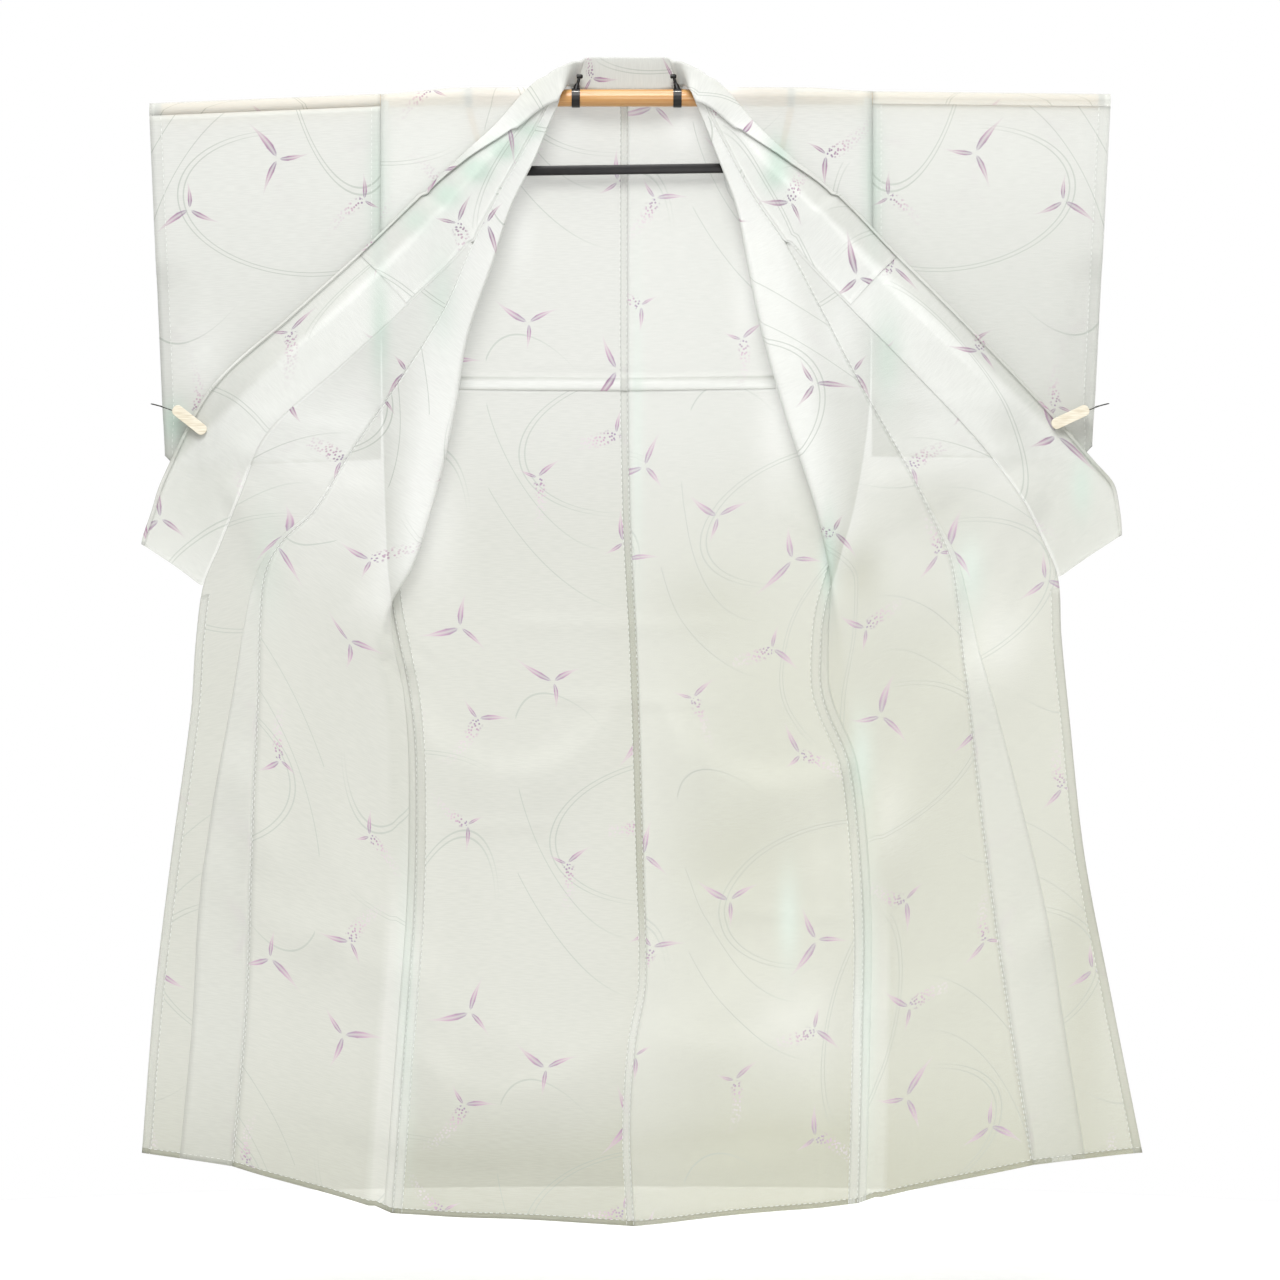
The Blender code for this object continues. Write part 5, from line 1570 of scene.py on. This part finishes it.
silk = white_silk()
trims = {}
for side, word in SIDES:
    rows = panel_grid[side]
    top = max(along for along, points in rows if points[-1] is not None)
    back = [(along, points) for along, points in rows if along <= top]
    front = [(along, points) for along, points in rows if along >= top + SHOULDER_CLOTH]
    made = [
        band(f"side_allowance_back_{word}", back, SIDE_BACK, PRESSED, whiter_below),
        band(f"side_allowance_front_{word}", front, SIDE_FRONT, turning, whiter_below),
    ]
    if side == LEFT:
        made.append(band("centre_allowance", back, CENTRE_WIDE, PRESSED, centre_shade, far=True))
    hem_back = [row for row in rows if row[0] <= rows[0][0] + HEM + 0.001]
    hem_front = [row for row in rows if row[0] >= rows[-1][0] - HEM - 0.001]
    made += [hem(f"hem_back_{word}", hem_back), hem(f"hem_front_{word}", hem_front)]
    lines = [
        down_rows(back, SIDE_BACK),
        down_rows(back, BESIDE_SEAM),
        down_rows(front, BESIDE_SEAM, far=True),
        raised(hem_back[-1][1], STITCH_LIFT),
        raised(hem_front[0][1], STITCH_LIFT),
    ]
    if side == LEFT:
        lines += [down_rows(back, CENTRE_WIDE, far=True), down_rows(back, BESIDE_CENTRE, far=True)]
    trims[f"body_{word}"] = [*made, stitched(f"stitches_body_{word}", lines)]

    rows = overlap_grid[side]
    wide = [row for row in rows if row[0] >= 0.62]
    free = [row for row in rows if row[0] >= 0.78]
    hem_rows = [row for row in rows if row[0] >= LENGTH - HEM - 0.001]
    made = [
        band(f"okumi_allowance_{word}", wide, overlap_width, PRESSED, 0.30, columns=8),
        band(f"okumi_edge_hem_{word}", free, HEM, PRESSED, 0.18, far=True),
        hem(f"okumi_hem_{word}", hem_rows),
    ]
    lines = [
        down_rows(rows, BESIDE_SEAM),
        down_rows(free, HEM, far=True),
        raised(hem_rows[0][1], STITCH_LIFT),
    ]
    trims[f"okumi_{word}"] = [*made, stitched(f"stitches_okumi_{word}", lines)]

    rows = sleeve_grid[side]
    count = round((len(rows) - WRAP_STEPS - 3) / 2)
    front, behind = rows[:count], rows[count + 1 : count * 2 + 1]
    made = []
    for part, half, forward in (("front", front, -PRESSED), ("behind", behind, PRESSED)):
        made.append(band(f"armhole_allowance_{part}_{word}", half, ARMHOLE_WIDE, forward, 0.17))
        made.append(band(f"wrist_allowance_{part}_{word}", half, WRIST_WIDE, forward, 0.18, far=True))
    lines = [down_rows(front, ARMHOLE_WIDE), down_rows(front, WRIST_WIDE, far=True)]
    trims[f"sleeve_{word}"] = [*made, stitched(f"stitches_sleeve_{word}", lines)]

for panel, (piece, facts) in panels.items():
    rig.sheet(piece, held="hung", with_pieces=trims[panel], **facts)

# The pegs. Two flat legs of pale bare wood with round ends grip the collar's turned edge, on a round
# spring pin between them; a dark wire hook from the pin goes round the sleeve's edge.
PEGS = {
    LEFT: (Vector((-0.609, 0, -0.4486)), 38, -0.0357, -0.0180),
    RIGHT: (Vector((0.609, 0, -0.4445)), 25, -0.0350, -0.0185),
}
PEG_LEGS = ((0.056, 0.0045, 0.0155), (0.054, 0.0040, 0.0130))
PIN_OUT = 0.019
PEG_PIN_RADIUS = 0.0030
WIRE_RADIUS = 0.0007
SLEEVE_EDGE = 0.651


def bare_pine():
    """Pine, sawn and sanded but not lacquered: pale yellow, darker in thin streaks 1 to 2 mm wide."""
    made, tree = begun("bare_sanded_pine", "peg_wood", Roughness=0.62)
    place = wire(tree, "TexCoord", output="Object")
    along = wire(tree, "Mapping", {"Vector": place, "Scale": (60, 60, 700)})
    grain = wire(tree, "TexNoise", {"Vector": along, "Scale": 1.0, "Detail": 3.0})
    wire(tree, "ValToRGB", {"Fac": grain}, to="Base Color", stops=[(0.30, "#C9BEA6"), (0.66, "#E2DCCB")])
    wire(tree, "Bump", {"Height": grain, "Strength": 0.2, "Distance": 0.0002}, to="Normal")
    return made


def lacquered_wire():
    """Iron wire, drawn and dipped in dark lacquer, worn to the metal in places."""
    made, tree = begun("dark_lacquered_wire", "dark_wire", Metallic=0.8)
    place = wire(tree, "TexCoord", output="Object")
    worn = wire(tree, "TexNoise", {"Vector": place, "Scale": 400.0, "Detail": 2.0})
    wire(tree, "ValToRGB", {"Fac": worn}, to="Base Color", stops=[(0.45, "#3A3A38"), (0.75, "#8C8A84")])
    wire(tree, "MapRange", {"Value": worn, "To Min": 0.30, "To Max": 0.50}, to="Roughness")
    return made


pine = bare_pine()
dark_wire = lacquered_wire()
for side, word in SIDES:
    centre, degrees, front_y, back_y = PEGS[side]
    slant = math.radians(degrees) * -side
    shape = bmesh.new()
    for size, y in zip(PEG_LEGS, (front_y, back_y), strict=True):
        leg = bmesh.ops.create_cube(shape, size=1)["verts"]
        bmesh.ops.scale(shape, vec=size, verts=leg)
        ends = {e for v in leg for e in v.link_edges}
        ends = [e for e in ends if abs((e.verts[0].co - e.verts[1].co).y) > size[1] / 2]
        rounding = bevelled(shape, ends, size[2] * 0.46, 8)
        leg = {v for v in leg if v.is_valid} | {v for f in rounding["faces"] for v in f.verts}
        move = Matrix.Translation(centre + Vector((0, y, 0))) @ Matrix.Rotation(slant, 4, "Y")
        bmesh.ops.transform(shape, matrix=move, verts=list(leg))
    outer = Vector((side * math.cos(slant), 0, -side * math.sin(slant)))
    pin_at = centre + outer * PIN_OUT
    ends = (pin_at + Vector((0, front_y, 0)), pin_at + Vector((0, back_y, 0)))
    turned(shape, rounded((ends[1] - ends[0]).length, PEG_PIN_RADIUS, 0.0004), *ends, steps=24)
    peg = finished(f"peg_{word}_pine", shape, pine, f"peg_{word}")
    edges = peg.modifiers.new("Edges", "BEVEL")
    edges.width, edges.segments = 0.0007, 2
    stops = [
        (abs(pin_at.x) + 0.0041, (front_y + back_y) / 2, 0.000),
        (SLEEVE_EDGE, -0.016, 0.008),
        (SLEEVE_EDGE + 0.011, -0.010, 0.011),
        (SLEEVE_EDGE + 0.014, -0.002, 0.012),
        (SLEEVE_EDGE + 0.012, 0.004, 0.012),
        (SLEEVE_EDGE + 0.004, 0.0085, 0.010),
        (SLEEVE_EDGE - 0.004, 0.0105, 0.008),
    ]
    places = [Vector((side * out, y, pin_at.z + up)) for out, y, up in stops]
    hook = bmesh.new()
    line = finer(places)
    for start, end in zip(line, line[1:]):
        turned(hook, [(0, WIRE_RADIUS), ((end - start).length, WIRE_RADIUS)], start, end, steps=10)
    bmesh.ops.remove_doubles(hook, verts=hook.verts, dist=0.0004)
    bmesh.ops.holes_fill(hook, edges=hook.edges, sides=12)
    bmesh.ops.recalc_face_normals(hook, faces=hook.faces)
    finished(f"peg_wire_{word}_hook", hook, dark_wire, f"peg_wire_{word}", sharp=60)

# The place where the garment is photographed: a pale floor, a white room, a large soft light high in
# front, a weaker one low in front, one overhead, one behind that shines through the gauze, and one
# that evens out the floor.
FLOOR_Z = -1.72
CAMERA_Z = -0.7528
CAMERA_X = 0.0139
CAMERA_AWAY = 8.0
SEEN_WIDTH = 1280 / 720


def pale_floor():
    """Matt paint on a smooth board, near white, with a faint unevenness 20 to 40 mm wide."""
    made, tree = begun("pale_floor_paint", None, Roughness=0.9)
    place = wire(tree, "TexCoord", output="Object")
    tone = wire(tree, "TexNoise", {"Vector": place, "Scale": 30.0, "Detail": 3.0})
    wire(tree, "ValToRGB", {"Fac": tone}, to="Base Color", stops=[(0.3, "#F6F6F4"), (0.7, "#FAFAF8")])
    return made


board = bmesh.new()
bmesh.ops.create_circle(board, cap_ends=True, segments=96, radius=2.2)
bmesh.ops.translate(board, vec=(0, 0, FLOOR_Z), verts=board.verts)
mesh = bpy.data.meshes.new("floor")
board.to_mesh(mesh)
board.free()
mesh.materials.append(pale_floor())
floor = bpy.data.objects.new("floor", mesh)
bpy.context.scene.collection.objects.link(floor)
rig.stage(floor)

room = bpy.data.worlds.new("white_room")
room.use_nodes = True
bpy.context.scene.world = room
to_eye = wire(room.node_tree, "LightPath", output="Is Camera Ray")
strength = wire(room.node_tree, "Mix", {0: to_eye, 2: 0.40, 3: 1.0}, data_type="FLOAT")
room.node_tree.nodes["Background"].inputs["Color"].default_value = (1, 1, 1, 1)
room.node_tree.links.new(strength, room.node_tree.nodes["Background"].inputs["Strength"])
bpy.context.scene.view_settings.view_transform = "Standard"


def soft_light(name, place, aim, size, power):
    """A round soft light at one place, aimed at another."""
    lamp = bpy.data.lights.new(name, "AREA")
    lamp.shape, lamp.size, lamp.energy = "DISK", size, power
    made = bpy.data.objects.new(name, lamp)
    made.location = place
    made.rotation_euler = (Vector(aim) - Vector(place)).to_track_quat("-Z", "Y").to_euler()
    bpy.context.scene.collection.objects.link(made)


soft_light("key", (-0.35, -3.7, 3.3), (0, 0, -0.9), 3.0, 236)
soft_light("fill", (0.5, -4.8, -0.6), (0, 0, -0.8), 2.4, 58)
soft_light("overhead", (0, -0.5, 2.6), (0, 0, -1.6), 1.6, 40)
soft_light("back", (0.6, 3.2, 0.6), (0, 0, -0.8), 2.0, 18)
soft_light("floor_wash", (0, 2.6, -0.3), (0, 1.5, -1.72), 2.0, 30)

lens = bpy.data.cameras.new("camera")
lens.sensor_width = 36
lens.lens = 36 * CAMERA_AWAY / SEEN_WIDTH
camera = bpy.data.objects.new("camera", lens)
camera.location = (CAMERA_X, -CAMERA_AWAY, CAMERA_Z)
camera.rotation_euler = (math.pi / 2, 0, 0)
bpy.context.scene.collection.objects.link(camera)
bpy.context.scene.camera = camera

final_box = [list(corner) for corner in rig.bounds()]
with open("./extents.json", "w") as out:
    json.dump({"cad_box": cad_box, "final_box": final_box}, out)
